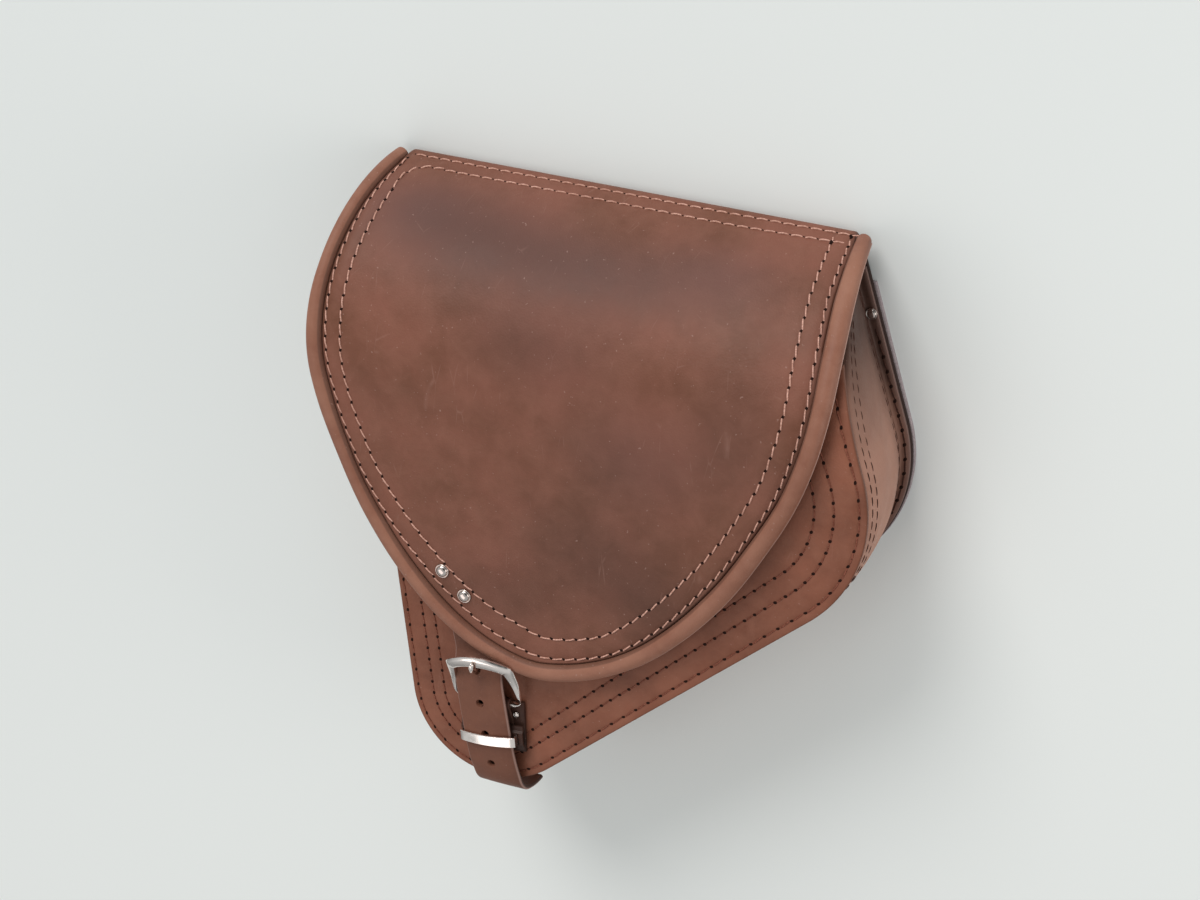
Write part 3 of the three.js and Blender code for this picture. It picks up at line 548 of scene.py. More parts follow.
def edge_profile(low, high, soft):
    """Insets and heights round a cut edge, from under the panel to its top."""
    turn = np.radians(np.linspace(-90, 90, 7))
    middle = np.where(turn < 0, low + soft, high - soft)
    return [(46.0, low), (6.0, low), *zip(soft * (1 - np.cos(turn)), middle + soft * np.sin(turn))]


# distances of the three stitch rows inside the front panel's edge, at the places 0 to 5 round it
FRONT_ROWS = [
    (3.0, 3.0, 4.2, 4.8, 3.8, 5.2),
    (12.0, 12.0, 14.8, 16.8, 16.2, 17.0),
    (19.0, 19.0, 22.5, 27.2, 25.6, 26.4),
]


def front_row(number, aside=0.0):
    """How far inside the front panel's edge a stitch row lies, for places round it."""
    return lambda at: np.interp(at, range(6), FRONT_ROWS[number]) + aside


def bent_back(mesh):
    """Bends a flat panel round the brow, above its level part, once its faces are cut into strips."""
    work = bmesh.new()
    work.from_mesh(mesh)
    level = (BROW_Y + shift[1]) * MM
    for rise in np.arange(0, 52, 3.5):
        bmesh.ops.bisect_plane(
            work, geom=work.verts[:] + work.edges[:] + work.faces[:], dist=1e-7,
            plane_co=(0, level + rise * MM, 0), plane_no=(0, 1, 0),
        )
    for vert in work.verts:
        vert.co.z = float(under_brow(vert.co.y / MM - shift[1], vert.co.z / MM)) * MM
    work.to_mesh(mesh)
    work.free()


# each stitch row sinks into a furrow; between the rows the leather swells a little
FURROW = ((-1.5, 0.0), (-0.7, 0.55), (0.0, 1.0), (0.7, 0.55), (1.5, 0.0))
rings = list(zip(edge_profile(DEPTH - FRONT, DEPTH, 0.8), (0, 0.5, 0.9, 0.9, 0.9, 0.8, 0.6, 0.35, 0.1)))
for number, depth, beside, swell in ((0, 0.5, 4.0, 0.15), (1, 0.28, 3.4, 0.1), (2, 0.28, None, None)):
    rings += [((front_row(number, aside), DEPTH - depth * share), 0.1 * share) for aside, share in FURROW]
    if beside:
        rings.append(((front_row(number, beside), DEPTH + swell), 0.0))
rings.append(((46.0, DEPTH), 0.0))
profile, edge_mark = zip(*rings)
raw_mark = np.r_[0, 0, 0.1, 0.2, 0.2, 0.1, np.zeros(len(rings) - 6)]
plate_piece(
    "front_panel", FRONT_TOP_RIGHT, FRONT_TOP_Y, profile, body_leather,
    {"edge": edge_mark, "raw": raw_mark}, bent_back,
)

profile = [(inset + 0.4, z) for inset, z in edge_profile(BACK_Z, BACK_Z + BACK, 0.7)]
plate_piece(
    "back_panel", BACK_TOP_RIGHT, FOLD_Y - 1.7, profile + [(40.0, BACK_Z + BACK)], dark_leather,
    {"edge": [0.5, 0.8] + [1.0] * 7 + [0.2]},
)

RETURN = 17.0
plate_piece(
    "back_reinforcement", BACK_TOP_RIGHT + 0.6, FOLD_Y - RETURN - 2 * GAP,
    edge_profile(0.0, REINFORCEMENT, 0.5) + [(40.0, REINFORCEMENT)], split_leather, {},
)


# ------------------------------------------------------------------ gusset

def gusset_section():
    """The gusset's outer line as insets, heights and share (0 follows the back outline, 1 the front)."""
    rows = [(0.9, FLANGE_TOP, 0.0), (3.0, FLANGE_TOP, 0.0), (4.6, FLANGE_TOP, 0.0)]
    fold = 1.6
    for angle in np.radians(np.linspace(16, 80, 5)):
        rows.append((4.6 + fold * math.sin(angle), FLANGE_TOP + fold * (1 - math.cos(angle)), 0.02))
    high = FRONT_FLANGE_Z + GUSSET
    for share in np.linspace(0.06, 0.97, 36):
        straight = 6.5 + (0.9 - 6.5) * share
        rows.append((straight - 4.2 * 4 * share * (1 - share), FLANGE_TOP + (high - FLANGE_TOP) * share, share))
    rows += [(1.5, high - 0.5, 1.0), (2.6, high, 1.0), (12.5, high, 1.0)]
    return rows


section = gusset_section()
WALL_INSET, WALL_Z, WALL_SHARE = np.array(section[2:-2]).T
GUSSET_TOP = 287.2


def gusset_line(inset, z):
    """One line of the gusset round the bag, which keeps under the front panel where that bends back."""
    high = FRONT_FLANGE_Z + GUSSET
    beside = inset - np.interp(z, WALL_Z, WALL_INSET)

    def line_at(height):
        share = np.interp(height, WALL_Z, WALL_SHARE)[:, None]
        line = back_line[0] * (1 - share) + front_line[0] * share
        away = unit(back_line[1] * (1 - share) + front_line[1] * share)
        line -= away * (np.interp(height, WALL_Z, WALL_INSET) + beside)[:, None]
        for kept in (places <= 1, places >= 4):
            held = line[kept]
            anchor, end = (held[-1], held[0]) if kept[0] else (held[0], held[-1])
            line[kept] = anchor + (held - anchor) * (GUSSET_TOP - anchor[1]) / (end[1] - anchor[1])
        return line

    height = np.full(len(places), z)
    if z > FLANGE_TOP:
        top = under_brow(line_at(height)[:, 1], high)
        height = FLANGE_TOP + (z - FLANGE_TOP) * (top - FLANGE_TOP) / (high - FLANGE_TOP)
    return np.column_stack([line_at(height), height])


def matched(points, normals, at):
    """An edge at the same places as its counterpart, so that back and front agree."""
    return sampled(places, at, points), sampled(places, at, normals)


places = np.concatenate([
    np.linspace(0, 1, 110)[:-1], np.linspace(1, 2, 60)[:-1], np.linspace(2, 3, 110)[:-1],
    np.linspace(3, 4, 60)[:-1], np.linspace(4, 5, 80),
])
back_line, front_line = (matched(*panel_edge(right)) for right in (BACK_TOP_RIGHT, FRONT_TOP_RIGHT))


def wall_line(inset, z, share):
    """A line of the gusset with the wall's gentle ripples."""
    line = gusset_line(inset, z)
    ripple = waves(line * (1, 1, 2.2), 60, 0.7, 11) + waves(line * (1, 1, 0.7), 24, 0.22, 12)
    line[:, :2] += front_line[1] * (ripple * math.sin(math.pi * share))[:, None]
    return line


outer = np.array([wall_line(*row) for row in section])
inner = np.array([
    wall_line(inset + (GUSSET if 0 < share < 1 else 0.0), z - (GUSSET if share in (0.0, 1.0) else 0.0), share)
    for inset, z, share in section
])
ring = np.concatenate([outer, inner[::-1]]).transpose(1, 0, 2)
count, size = ring.shape[:2]
marks = {mark: np.zeros((count, size)) for mark in ("edge", "raw")}
marks["edge"][:, [0, -1]] = 0.9
marks["raw"][:, 0] = 0.5
shares = np.array([share for _, _, share in section])
shares = np.r_[shares, shares[::-1]]
height = ring[:, :, 1]
# painted shade: darker under the lid and beside the back flange, less so low down
painted_shade_mark = 0.9 * np.clip((height - 212) / 52, 0, 1) + 0.45 * np.clip((0.35 - shares) / 0.35, 0, 1)
marks["dark"] = np.clip(painted_shade_mark * (1 - 0.4 * np.clip((120 - height) / 60, 0, 1)), 0, 0.92)
mesh = make_mesh("gusset_leather", ring, tube_faces(count, size), marks, sharp=60)
finish_piece("gusset_leather", mesh, gusset_leather, ("gusset",))


# ------------------------------------------------------------------ lid

TOP_ROWS = (8.2, 16.0)


def nearest_edge(flat):
    """For flat places on the lid: how far inside its finished edge they, the crease and both rows lie."""
    inside, share = np.empty(len(flat)), np.empty(len(flat))
    for start in range(0, len(flat), 4000):
        part = flat[start:start + 4000]
        apart = np.linalg.norm(part[:, None] - lid_edge[None, ::2], axis=2)
        best = apart.argmin(1)
        inside[start:start + 4000] = apart[np.arange(len(part)), best]
        share[start:start + 4000] = best * 2 / (len(lid_edge) - 1)
    return inside, *(lid_inset(kind, share) for kind in ("crease", "outer", "inner"))


def dip(distance, width):
    return np.exp(-(distance / width) ** 2)


# cloudy places on the lid: across, along, half sizes, how dark and how grey; the grey is wax bloom and, near the fold
# where the lid faces up, a painted sheen
LID_PATCHES = [
    (-60, 55, 48, 26, 0.42, 0.55),
    (10, 62, 50, 20, 0.38, 0.5),
    (70, 50, 30, 18, 0.15, 0.5),
    (-95, 45, 26, 18, 0.15, 0.5),
    (-10, 105, 40, 20, 0.28, 0.25),
    (48, 150, 34, 26, 0.22, 0.3),
    (25, 205, 40, 26, 0.34, 0.1),
    (-20, 240, 40, 20, 0.28, 0.05),
    (60, 225, 26, 24, 0.4, 0.0),
    (95, 120, 24, 30, 0.12, 0.2),
]


def lid_face(flat):
    """The lift of the lid's upper face at flat places, and the same without its stitch furrows."""
    inside, crease, outer_row, inner_row = nearest_edge(flat)
    along = flat[:, 1]
    down = 0.4 * dip(inside - outer_row, 1.2) * (along > TOP_ROWS[0])
    down += 0.36 * dip(inside - inner_row, 1.2) * (along > TOP_ROWS[1])
    for row, kept in zip(TOP_ROWS, (inside > outer_row, inside > inner_row)):
        down += 0.25 * dip(along - row, 1.2) * kept
    hanging = np.clip((along - 6) / 30, 0, 1)
    puff = 0.4 * dip(inside - (outer_row + inner_row) / 2, 4.0)
    roll_side = 0.8 * np.clip((crease + 1.4 - inside) / 1.4, 0, 1) ** 2 * (along > 0)
    full_fold = 1.9 * dip(along - 4, 9)
    even_lift = (waves(flat, 120, 0.55, 3) + waves(flat, 45, 0.16, 4)) * hanging + full_fold
    return LID / 2 + even_lift + puff * hanging - down - roll_side, even_lift


def lid_leather_mesh():
    columns = np.r_[np.linspace(0, 36, 30), np.linspace(36, 224, 50)[1:-1], np.linspace(224, 260, 30)] / 260
    shares = np.linspace(0, 1, 1200)
    leather = lid_line(lid_inset("crease", shares), shares)
    lowest = leather[:, 1].argmax()
    left, right = leather[:lowest + 1], leather[lowest:][::-1]
    depth = leather[lowest][1]
    brow = FOLD_LENGTH + BROW_LENGTH
    rows = np.r_[
        -RETURN, -12, -6, -2, -1,
        np.linspace(0, FOLD_LENGTH, 9), np.linspace(FOLD_LENGTH, 20, 18)[1:], np.linspace(20, brow, 52)[1:],
        brow + (depth - 0.15 - brow) * np.sin(np.linspace(0, math.pi / 2, 86)[1:]),
    ]
    reach_left = np.where(rows < -1.5, -122, np.interp(rows, left[:, 1], left[:, 0]))
    reach_right = np.where(rows < -1.5, 122, np.interp(rows, right[:, 1], right[:, 0]))
    x = reach_left[:, None] + (reach_right - reach_left)[:, None] * columns[None]
    along = np.repeat(rows[:, None], len(columns), 1)
    flat = np.stack([x.ravel(), along.ravel()], 1)
    inside, crease, outer_row, inner_row = nearest_edge(flat)
    lift, even_lift = lid_face(flat)
    top = lid_point(flat[:, 0], flat[:, 1], lift)
    bottom = lid_point(flat[:, 0], flat[:, 1], even_lift - LID / 2)
    size = len(columns)
    grid = np.arange(len(flat)).reshape(len(rows), size)
    quads = np.stack([grid[:-1, :-1], grid[:-1, 1:], grid[1:, 1:], grid[1:, :-1]], -1).reshape(-1, 4)
    faces = quads.tolist() + (quads[:, ::-1] + len(flat)).tolist()
    rim = np.r_[grid[0, :], grid[1:, -1], grid[-1, -2::-1], grid[-2:0:-1, 0]]
    for a, b in zip(rim, np.roll(rim, -1)):
        faces.append((a, a + len(flat), b + len(flat), b))
    # painted shade: darker in the roll's crease and along the stitch furrows
    dark = 0.6 * dip(inside - crease, 1.1)
    dark += 0.2 * dip(inside - outer_row, 0.8) + 0.15 * dip(inside - inner_row, 0.8)
    # grey: wax bloom, partly a painted sheen
    grey = np.zeros(len(flat))
    for across, down_lid, wide, tall, much, cool in LID_PATCHES:
        spread = np.exp(-((flat[:, 0] - across) / wide) ** 2 - ((flat[:, 1] - down_lid) / tall) ** 2)
        dark += much * spread
        grey += cool * spread
    marks = {
        "dark": np.r_[np.clip(dark, 0, 0.85), np.full(len(flat), 0.3)],
        "bloom": np.r_[np.clip(grey, 0, 0.8), np.zeros(len(flat))],
    }
    return make_mesh("lid_leather", np.vstack([top, bottom]), faces, marks, sharp=60)


finish_piece("lid_leather", lid_leather_mesh(), lid_leather, ("lid",))


# ------------------------------------------------------------------ roll along the lid's edge

def roll_mesh():
    """The roll and its tongue: a folded strip round a cord, its raw edge lying on the outer side."""
    ends = ROLL_START / lid_edge_length
    shares = np.linspace(ends, 1 - ends, 300)
    top = -LID / 2 - 0.35
    half_w, half_h = ROLL_WIDTH / 2, ROLL_HEIGHT / 2
    start = math.pi - math.asin((top - ROLL_LIFT) / half_h)
    angles = np.r_[
        np.linspace(start, math.radians(4), 22), np.radians([-4, -9, -14, -19, -25]),
        np.linspace(math.radians(-32), -math.pi / 2, 6),
    ]
    lip = np.interp(np.degrees(angles), [-25, -19, -14, -9, -4, 4], [0, 0.5, 0.62, 0.5, 0.0, 0.0])
    out = np.r_[-13, GAP - 0.15 + half_w * (1 + np.cos(angles)) + lip, -13]
    lift = np.r_[top, ROLL_LIFT + half_h * np.sin(angles), ROLL_LIFT - half_h]
    raw = np.r_[0, np.where(lip > 0.4, 1.0, 0.0), 0]
    # painted shade on the roll's inner side, in the crease against the lid
    dark = np.where((out < 1.6) & (lift > top), 0.45, 0.0)
    crease = lid_inset("crease", shares)[:, None]
    flat_edge = lid_line(crease, shares)
    away = (lid_line(0.0, shares) - flat_edge) / crease
    swell = 0.03 * waves(flat_edge, 70, 0.25, 21)[:, None]
    width = np.where(out > 0, out * (crease - GAP) / ROLL_WIDTH, out) * (1 + swell)
    flat = flat_edge[:, None] + width[..., None] * away[:, None]
    marks = {"raw": np.tile(raw, len(shares)), "dark": np.tile(dark, len(shares))}
    points = lid_point(flat[..., 0], flat[..., 1], lift)
    return make_mesh("lid_roll_leather", points, tube_faces(len(shares), len(out)), marks, sharp=70)


finish_piece("lid_roll_leather", roll_mesh(), roll_leather, ("lid_roll",))


# ------------------------------------------------------------------ clasp

STRAP_WIDTH = 28.2
STRAP_WAY = [
    (80, 81.8), (54, 81.8), (40, 81.8), (34, 81.7), (30, 82.1), (27, 83.4), (24, 85.6), (20.6, 87.9),
    (15, 89.7), (6, 90.2), (-8, 90.1), (-22, 89.7), (-32, 88.9), (-40, 87.3), (-47, 84.4), (-51.6, 79.4),
    (-53.8, 73.2), (-55, 67), (-55.4, 61),
]
CLASP_ARCH = 2.0
HOLES = [21 - 18.5 * i for i in range(4)]


def strap_side(up):
    return -0.6 - 0.06 * (up + np.maximum(up - 25, 0))


def smooth_step(value, low, high):
    share = np.clip((value - low) / (high - low), 0, 1)
    return share * share * (3 - 2 * share)


def strap_arch(up):
    return CLASP_ARCH * smooth_step(27 - up, 0, 10) * smooth_step(up, -54, -40)


def strap_mesh():
    """The strap along its way, arched over the tab, its edges rounded and its tip cut aslant."""
    way = even(flowing(STRAP_WAY, 12), count=120)
    run = unit(np.gradient(way, axis=0))
    half, soft = STRAP_WIDTH / 2, STRAP / 2
    turn = np.radians(np.linspace(90, -90, 7))
    face = np.linspace(-1, 1, 21)[1:-1] * (half - soft)
    across = np.r_[face, half - soft + soft * 0.8 * np.cos(turn)]
    height = np.r_[np.full(19, soft), soft * np.sin(turn)]
    across, height = np.r_[across, -across], np.r_[height, -height]
    side_edge = np.abs(across) > half - soft * 0.7
    up, z = way[:, :1], way[:, 1:]
    lift = height - strap_arch(up) * (across / half) ** 2
    points = np.stack([
        strap_side(up) + across,
        up + run[:, 1:] * lift - 0.1 * across * smooth_step(-up, 32, 48),
        z - run[:, :1] * lift,
    ], -1)
    marks = {
        "edge": np.tile(np.where(side_edge, 0.75, 0.0), len(way)),
        "raw": np.tile(np.where(side_edge & (height > 0.2), 0.6, 0.0), len(way)),
    }
    faces = tube_faces(len(way), len(across))
    return make_mesh("closing_strap_leather", from_clasp(points), faces, marks, sharp=50)


strap = strap_mesh()
strap.materials.append(strap_leather)
angle = circle(24)
way_up, way_z = np.array(STRAP_WAY[:14])[::-1].T
for up in HOLES:
    face = np.interp(up, way_up, way_z) + STRAP / 2
    rings = []
    for radius, z in ((1.5, face - 8), (1.5, face - 1.6), (2.3, face), (2.4, face + 8)):
        ring = np.stack([strap_side(up) + radius * np.cos(angle), up + radius * np.sin(angle)], 1)
        rings.append(from_clasp(np.column_stack([ring, np.full(24, z)])))
    awl = new_object("awl", make_mesh("awl", rings, tube_faces(4, 24)))
    # the hole walls take the near-black leather, painted shade inside the holes
    awl.data.materials.append(dark_leather)
    strap = with_modifier(strap, "BOOLEAN", {"operation": "DIFFERENCE", "object": awl, "solver": "EXACT"})
    bpy.data.objects.remove(awl)
strap.set_sharp_from_angle(angle=math.radians(50))
finish_piece("closing_strap_leather", strap, None, ("closing_strap",))


# half of the frame, in its own plane: across, up, lift, width and depth along the hinge bar, an arm that
# widens upwards, and the bowed top bar
SIDE_WAY = [
    (0, 0, 0, 3, 3), (8, 0, 0, 3, 3), (14, 0, 0, 2.8, 2.8), (17.2, 0.3, -0.3, 0.8, 0.9),
    (18.2, 2.2, -0.3, 0.6, 0.8), (18.7, 6, 0.1, 1.8, 2.2), (18.4, 12, 0.3, 3.1, 2.5),
    (17.8, 18.4, 0.5, 4.2, 2.6), (16.9, 25.4, 1.2, 5.4, 2.6),
]
TOP_WAY = [(16.4, 26.6, 1.4, 5.8, 2.6), (12, 29.2, 1.7, 5.6, 2.6), (6, 31.3, 1.9, 6, 2.6), (0, 32, 2, 6.2, 2.6)]
MIRROR = (-1, 1, 1, 1, 1)
FRAME_SECTION = np.array([
    (-1, 0.5), (-0.93, 0.86), (-0.8, 1), (-0.3, 1.04), (0.1, 1.02), (0.42, 0.94), (0.56, 0.86), (0.94, 0.2),
    (1, 0), (1, -0.6), (0.85, -0.95), (0.6, -1), (-0.6, -1), (-0.9, -0.9), (-1, -0.6),
])


def buckle_place(points):
    """Buckle-frame places (x, y, lift) in the pattern frame."""
    cos, sin = math.cos(BUCKLE_TILT), math.sin(BUCKLE_TILT)
    up = points[..., 1] * cos - points[..., 2] * sin
    z = HINGE_BAR_Z + points[..., 1] * sin + points[..., 2] * cos
    return from_clasp(np.stack([points[..., 0] + 1.4, up, z], -1))


def frame_mesh():
    """A die-cast frame of flat-faced section: bevelled outside, square inside, mitred at its corners."""
    side_way = flowing(SIDE_WAY, 8)
    top = np.array(TOP_WAY)
    bow = flowing(np.vstack([top, top[-2::-1] * MIRROR]), 8)
    looped = np.vstack([side_way, bow, (side_way * MIRROR)[:0:-1]])
    run = unit(np.roll(looped[:, :2], -1, axis=0) - np.roll(looped[:, :2], 1, axis=0))
    side, height = FRAME_SECTION.T
    x, y, lift, width, depth = (looped[:, k, None] for k in range(5))
    ring = np.stack([
        x + run[:, 1:] * side * width / 2, y - run[:, :1] * side * width / 2, lift + height * depth / 2
    ], -1)
    ring[..., 2] -= 1.3 * smooth_step(ring[..., 1], 1, 16) * (ring[..., 0] / 18.8) ** 2
    faces = tube_faces(len(looped), len(side), loop=True)
    return make_mesh("buckle_frame_nickel", buckle_place(ring), faces, sharp=26)


finish_piece("buckle_frame_nickel", frame_mesh(), nickel, ("buckle_frame",))


PRONG_WAY = [
    (-0.6, 2.4, 83.7), (-1.2, 10, 83.7), (-1.8, 16.6, 84.2), (-1.9, 20, 86), (-1.8, 21.3, 90),
    (-1.2, 23, 94.6), (0, 25.4, 97.8), (1.1, 30.6, 99.4),
]


def prong_mesh():
    """A bent wire with a swollen, rounded end, and the eye that holds it on the hinge bar."""
    way = even(flowing(PRONG_WAY, 12), count=60)
    size = np.full(60, 1.15)
    size[:3] = (0.5, 0.9, 1.08)
    size[-9:] = (1.2, 1.3, 1.38, 1.42, 1.42, 1.36, 1.2, 0.9, 0.4)
    run = unit(np.gradient(way, axis=0))
    first = unit(np.cross(run, (1.0, 0.0, 0.0)))
    second = np.cross(run, first)
    turn = circle(16)[:, None]
    round_way = np.cos(turn) * first[:, None] + np.sin(turn) * second[:, None]
    wire = way[:, None] + size[:, None, None] * round_way
    b, a = np.meshgrid(circle(12), circle(40))
    eye_radius, eye_wire = 2.45, 0.55
    radius = eye_radius + eye_wire * np.cos(b)
    eye = np.stack([-0.6 + 1.6 * np.sin(b), radius * np.cos(a), HINGE_BAR_Z + radius * np.sin(a)], -1)
    faces = tube_faces(60, 16)
    faces += [tuple(np.array(face) + 60 * 16) for face in tube_faces(40, 12, loop=True)]
    points = np.vstack([wire.reshape(-1, 3), eye.reshape(-1, 3)])
    return make_mesh("buckle_prong_nickel", from_clasp(points), faces, sharp=80)


finish_piece("buckle_prong_nickel", prong_mesh(), nickel, ("buckle_prong",))


KEEPER_AT = -19.0
TAB_TOP = TAB_Z + 2 * TAB + GAP
KEEPER_BACK = TAB_TOP + GAP


def keeper_mesh():
    """A closed band: flat behind the strap and bowed over it, its corners rounded."""
    def outline(half, low, high, corner):
        points = [
            (x - math.copysign(corner, x) + corner * math.cos(t), low + corner + corner * math.sin(t))
            for x, start in ((-half, 180), (half, 270)) for t in np.radians(np.linspace(start, start + 90, 6))
        ]
        points += [(half * a, high - CLASP_ARCH * a * a - 0.4 * (abs(a) == 1)) for a in np.linspace(1, -1, 26)]
        return np.array(points) + (1.3, 0)

    outer_line = outline(16, KEEPER_BACK, 92.9, 1.2)
    inner_line = outline(15.2, KEEPER_BACK + 1, 91.4, 0.6)
    rows, end, soft = [], 3, 0.35
    profile = [(0, soft - end), (0.3, -end), (0.7, -end), (1, soft - end)]
    profile += [(share, -along) for share, along in profile[::-1]]
    for share, along in profile:
        line = outer_line * (1 - share) + inner_line * share
        rows.append(np.insert(line, 1, KEEPER_AT + along, axis=1))
    ring = np.transpose(rows, (1, 0, 2))
    faces = tube_faces(len(outer_line), len(profile), loop=True)
    return make_mesh("strap_keeper_nickel", from_clasp(ring), faces, sharp=45)


finish_piece("strap_keeper_nickel", keeper_mesh(), nickel, ("strap_keeper",))


def softened(node, width):
    """The leather piece of a CAD node: a copy of its shape with the arrises rounded."""
    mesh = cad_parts[node].data.copy()
    mesh.materials.clear()
    work = bmesh.new()
    work.from_mesh(mesh)
    bmesh.ops.remove_doubles(work, verts=work.verts, dist=1e-6)
    bmesh.ops.dissolve_limit(work, angle_limit=math.radians(1), verts=work.verts, edges=work.edges)
    work.to_mesh(mesh)
    work.free()
    made = with_modifier(mesh, "BEVEL", {
        "width": width * MM, "segments": 3, "limit_method": "ANGLE", "angle_limit": math.radians(40),
    })
    made.shade_smooth()
    made.set_sharp_from_angle(angle=math.radians(50))
    finish_piece(node + "_leather", made, dark_leather, (node,))


softened("buckle_tab", 0.4)
softened("keeper_tab", 0.25)


# ------------------------------------------------------------------ rivets

def rivet_mesh(name, node, radius, height, aside):
    """A domed cap with a rolled rim, on a short shank."""
    low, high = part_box(node)
    centre = np.array([(low.x + high.x) / 2, (low.y + high.y) / 2]) / MM - shift[:2] + (aside, 0)
    base, rim = high.z / MM - height, 0.25
    rows = [(0.0, low.z / MM), (1.2, low.z / MM), (1.2, base), (radius, base), (radius, base + rim)]
    for a in np.radians(np.linspace(0, 150, 7)):
        rows.append((radius - rim + rim * math.cos(a), base + rim + rim * math.sin(a)))
    inner = radius - 0.6
    for a in np.linspace(0, math.pi / 2, 9)[:-1]:
        rows.append((inner * math.cos(a), base + 0.35 + (height - 0.35) * math.sin(a)))
    turn = circle(32)
    points = [(*centre, rows[0][1])]
    for r, z in rows[1:]:
        points += [(centre[0] + r * math.cos(t), centre[1] + r * math.sin(t), z) for t in turn]
    points.append((*centre, base + height))
    faces = [(0, 1 + (k + 1) % 32, 1 + k) for k in range(32)]
    faces += [tuple(np.array(f) + 1) for f in tube_faces(len(rows) - 1, 32, caps=False)]
    last = 1 + (len(rows) - 2) * 32
    faces += [(last + k, last + (k + 1) % 32, len(points) - 1) for k in range(32)]
    return make_mesh(name, points, faces, sharp=60)


# the lid rivets and the right gusset rivet take the darker nickel, painted shade
for node, radius, height, aside, metal in (
    ("lid_rivet_1", 3.8, 2.0, 0.8, shaded_rivet_nickel), ("lid_rivet_2", 3.8, 2.0, 0.8, shaded_rivet_nickel),
    ("gusset_rivet_left", 2.9, 1.1, 0.0, nickel), ("gusset_rivet_right", 2.9, 1.1, 0.0, shaded_rivet_nickel),
    ("tab_rivet_left", 1.6, 1.0, 0.0, nickel), ("tab_rivet_right", 1.6, 1.0, 0.0, nickel),
):
    name = node + "_nickel"
    finish_piece(name, rivet_mesh(name, node, radius, height, aside), metal, (node,))


# ------------------------------------------------------------------ stitching

CUT_TURN = math.radians(-30)


def stitch_tree(name, hole):
    """A row of stitches, or of awl cuts, along a line whose points carry the leather's outward way."""
    tree = bpy.data.node_groups.new(name, "GeometryNodeTree")
    face = tree.interface
    face.new_socket("Line", in_out="INPUT", socket_type="NodeSocketGeometry")
    for label, value in (
        ("Pitch", 0.007), ("Length", 0.006), ("Thickness", 0.0008), ("Slant", 0.0004), ("Rise", 0.0003), ("Turn", 0.0),
    ):
        face.new_socket(label, in_out="INPUT", socket_type="NodeSocketFloat").default_value = value
    face.new_socket("Finish", in_out="INPUT", socket_type="NodeSocketMaterial")
    face.new_socket("Stitches", in_out="OUTPUT", socket_type="NodeSocketGeometry")
    add = partial(add_node, tree)
    given = add("NodeGroupInput").outputs
    curve = add("GeometryNodeMeshToCurve", Mesh=given["Line"])
    evenly = add("GeometryNodeResampleCurve", {"mode": "LENGTH"}, Curve=curve, Length=given["Pitch"])
    outwards = add("GeometryNodeInputNamedAttribute", {"data_type": "FLOAT_VECTOR"}, Name="outwards")
    upright = add("FunctionNodeAlignRotationToVector", {"axis": "Z"}, Vector=outwards)
    run = add("GeometryNodeInputTangent")
    turned = add("FunctionNodeAlignRotationToVector", {"axis": "X", "pivot_axis": "Z"}, Rotation=upright, Vector=run)
    half, *others = (
        add("ShaderNodeMath", {"operation": "MULTIPLY"}, i0=given[label], i1=factor)
        for label, factor in (
            ("Length", 0.5), ("Length", -0.5), ("Thickness", -0.6), ("Slant", -1.0), ("Pitch", 0.5),
        )[:1 if hole else None]
    )
    if hole:
        ball = add("GeometryNodeMeshUVSphere", Segments=10, Rings=6, Radius=1.0)
        size = add("ShaderNodeCombineXYZ", X=half, Y=given["Thickness"], Z=given["Rise"])
        cut = add("GeometryNodeTransform", Geometry=ball, Scale=size)
        aslant = add("ShaderNodeCombineXYZ", Z=given["Turn"])
        shape = add("GeometryNodeTransform", Geometry=cut, Rotation=aslant)
    else:
        back, under, slant_back, half_pitch = others
        start = add("ShaderNodeCombineXYZ", X=back, Y=slant_back, Z=under)
        end = add("ShaderNodeCombineXYZ", X=half, Y=given["Slant"], Z=under)
        middle = add("ShaderNodeCombineXYZ", Z=given["Rise"])
        bend = add("GeometryNodeCurveQuadraticBezier", Resolution=6, Start=start, Middle=middle, End=end)
        ply = add("GeometryNodeCurvePrimitiveCircle", Resolution=7, Radius=given["Thickness"])
        strand = add("GeometryNodeCurveToMesh", Curve=bend, Profile_Curve=ply, Fill_Caps=True)
        between = add("ShaderNodeCombineXYZ", X=half_pitch)
        shape = add("GeometryNodeTransform", Geometry=strand, Translation=between)
    placed = add("GeometryNodeInstanceOnPoints", Points=evenly, Instance=shape, Rotation=turned)
    real = add("GeometryNodeRealizeInstances", Geometry=placed)
    painted = add("GeometryNodeSetMaterial", Geometry=real, Material=given["Finish"])
    add("NodeGroupOutput", i0=painted)
    return tree


thread = stitch_tree("saddle_stitch_row", hole=False)
# the cuts are near-black lenses on the surface, painted shade of the needle holes
cut = stitch_tree("awl_cut_row", hole=True)


def stitched(name, lines, tree, material, sizes):
    """One piece with a stitch or cut at each step along the lines; a line is (points, outward ways)."""
    verts, edges, ways = [], [], []
    for points, outwards in lines:
        edges += [(len(verts) + i, len(verts) + i + 1) for i in range(len(points) - 1)]
        verts += ((points + shift) * MM).tolist()
        ways += outwards.tolist()
    mesh = bpy.data.meshes.new(name)
    mesh.from_pydata(verts, edges, [])
    mesh.attributes.new("outwards", "FLOAT_VECTOR", "POINT").data.foreach_set("vector", np.ravel(ways))
    sockets = {item.name: item.identifier for item in tree.interface.items_tree if item.in_out == "INPUT"}
    inputs = {sockets[label]: size * MM for label, size in sizes.items()}
    inputs |= {sockets["Turn"]: CUT_TURN, sockets["Finish"]: material}
    made = with_modifier(mesh, "NODES", {"node_group": tree}, inputs)
    made.materials.clear()
    made.shade_smooth()
    finish_piece(name, made, material, ())


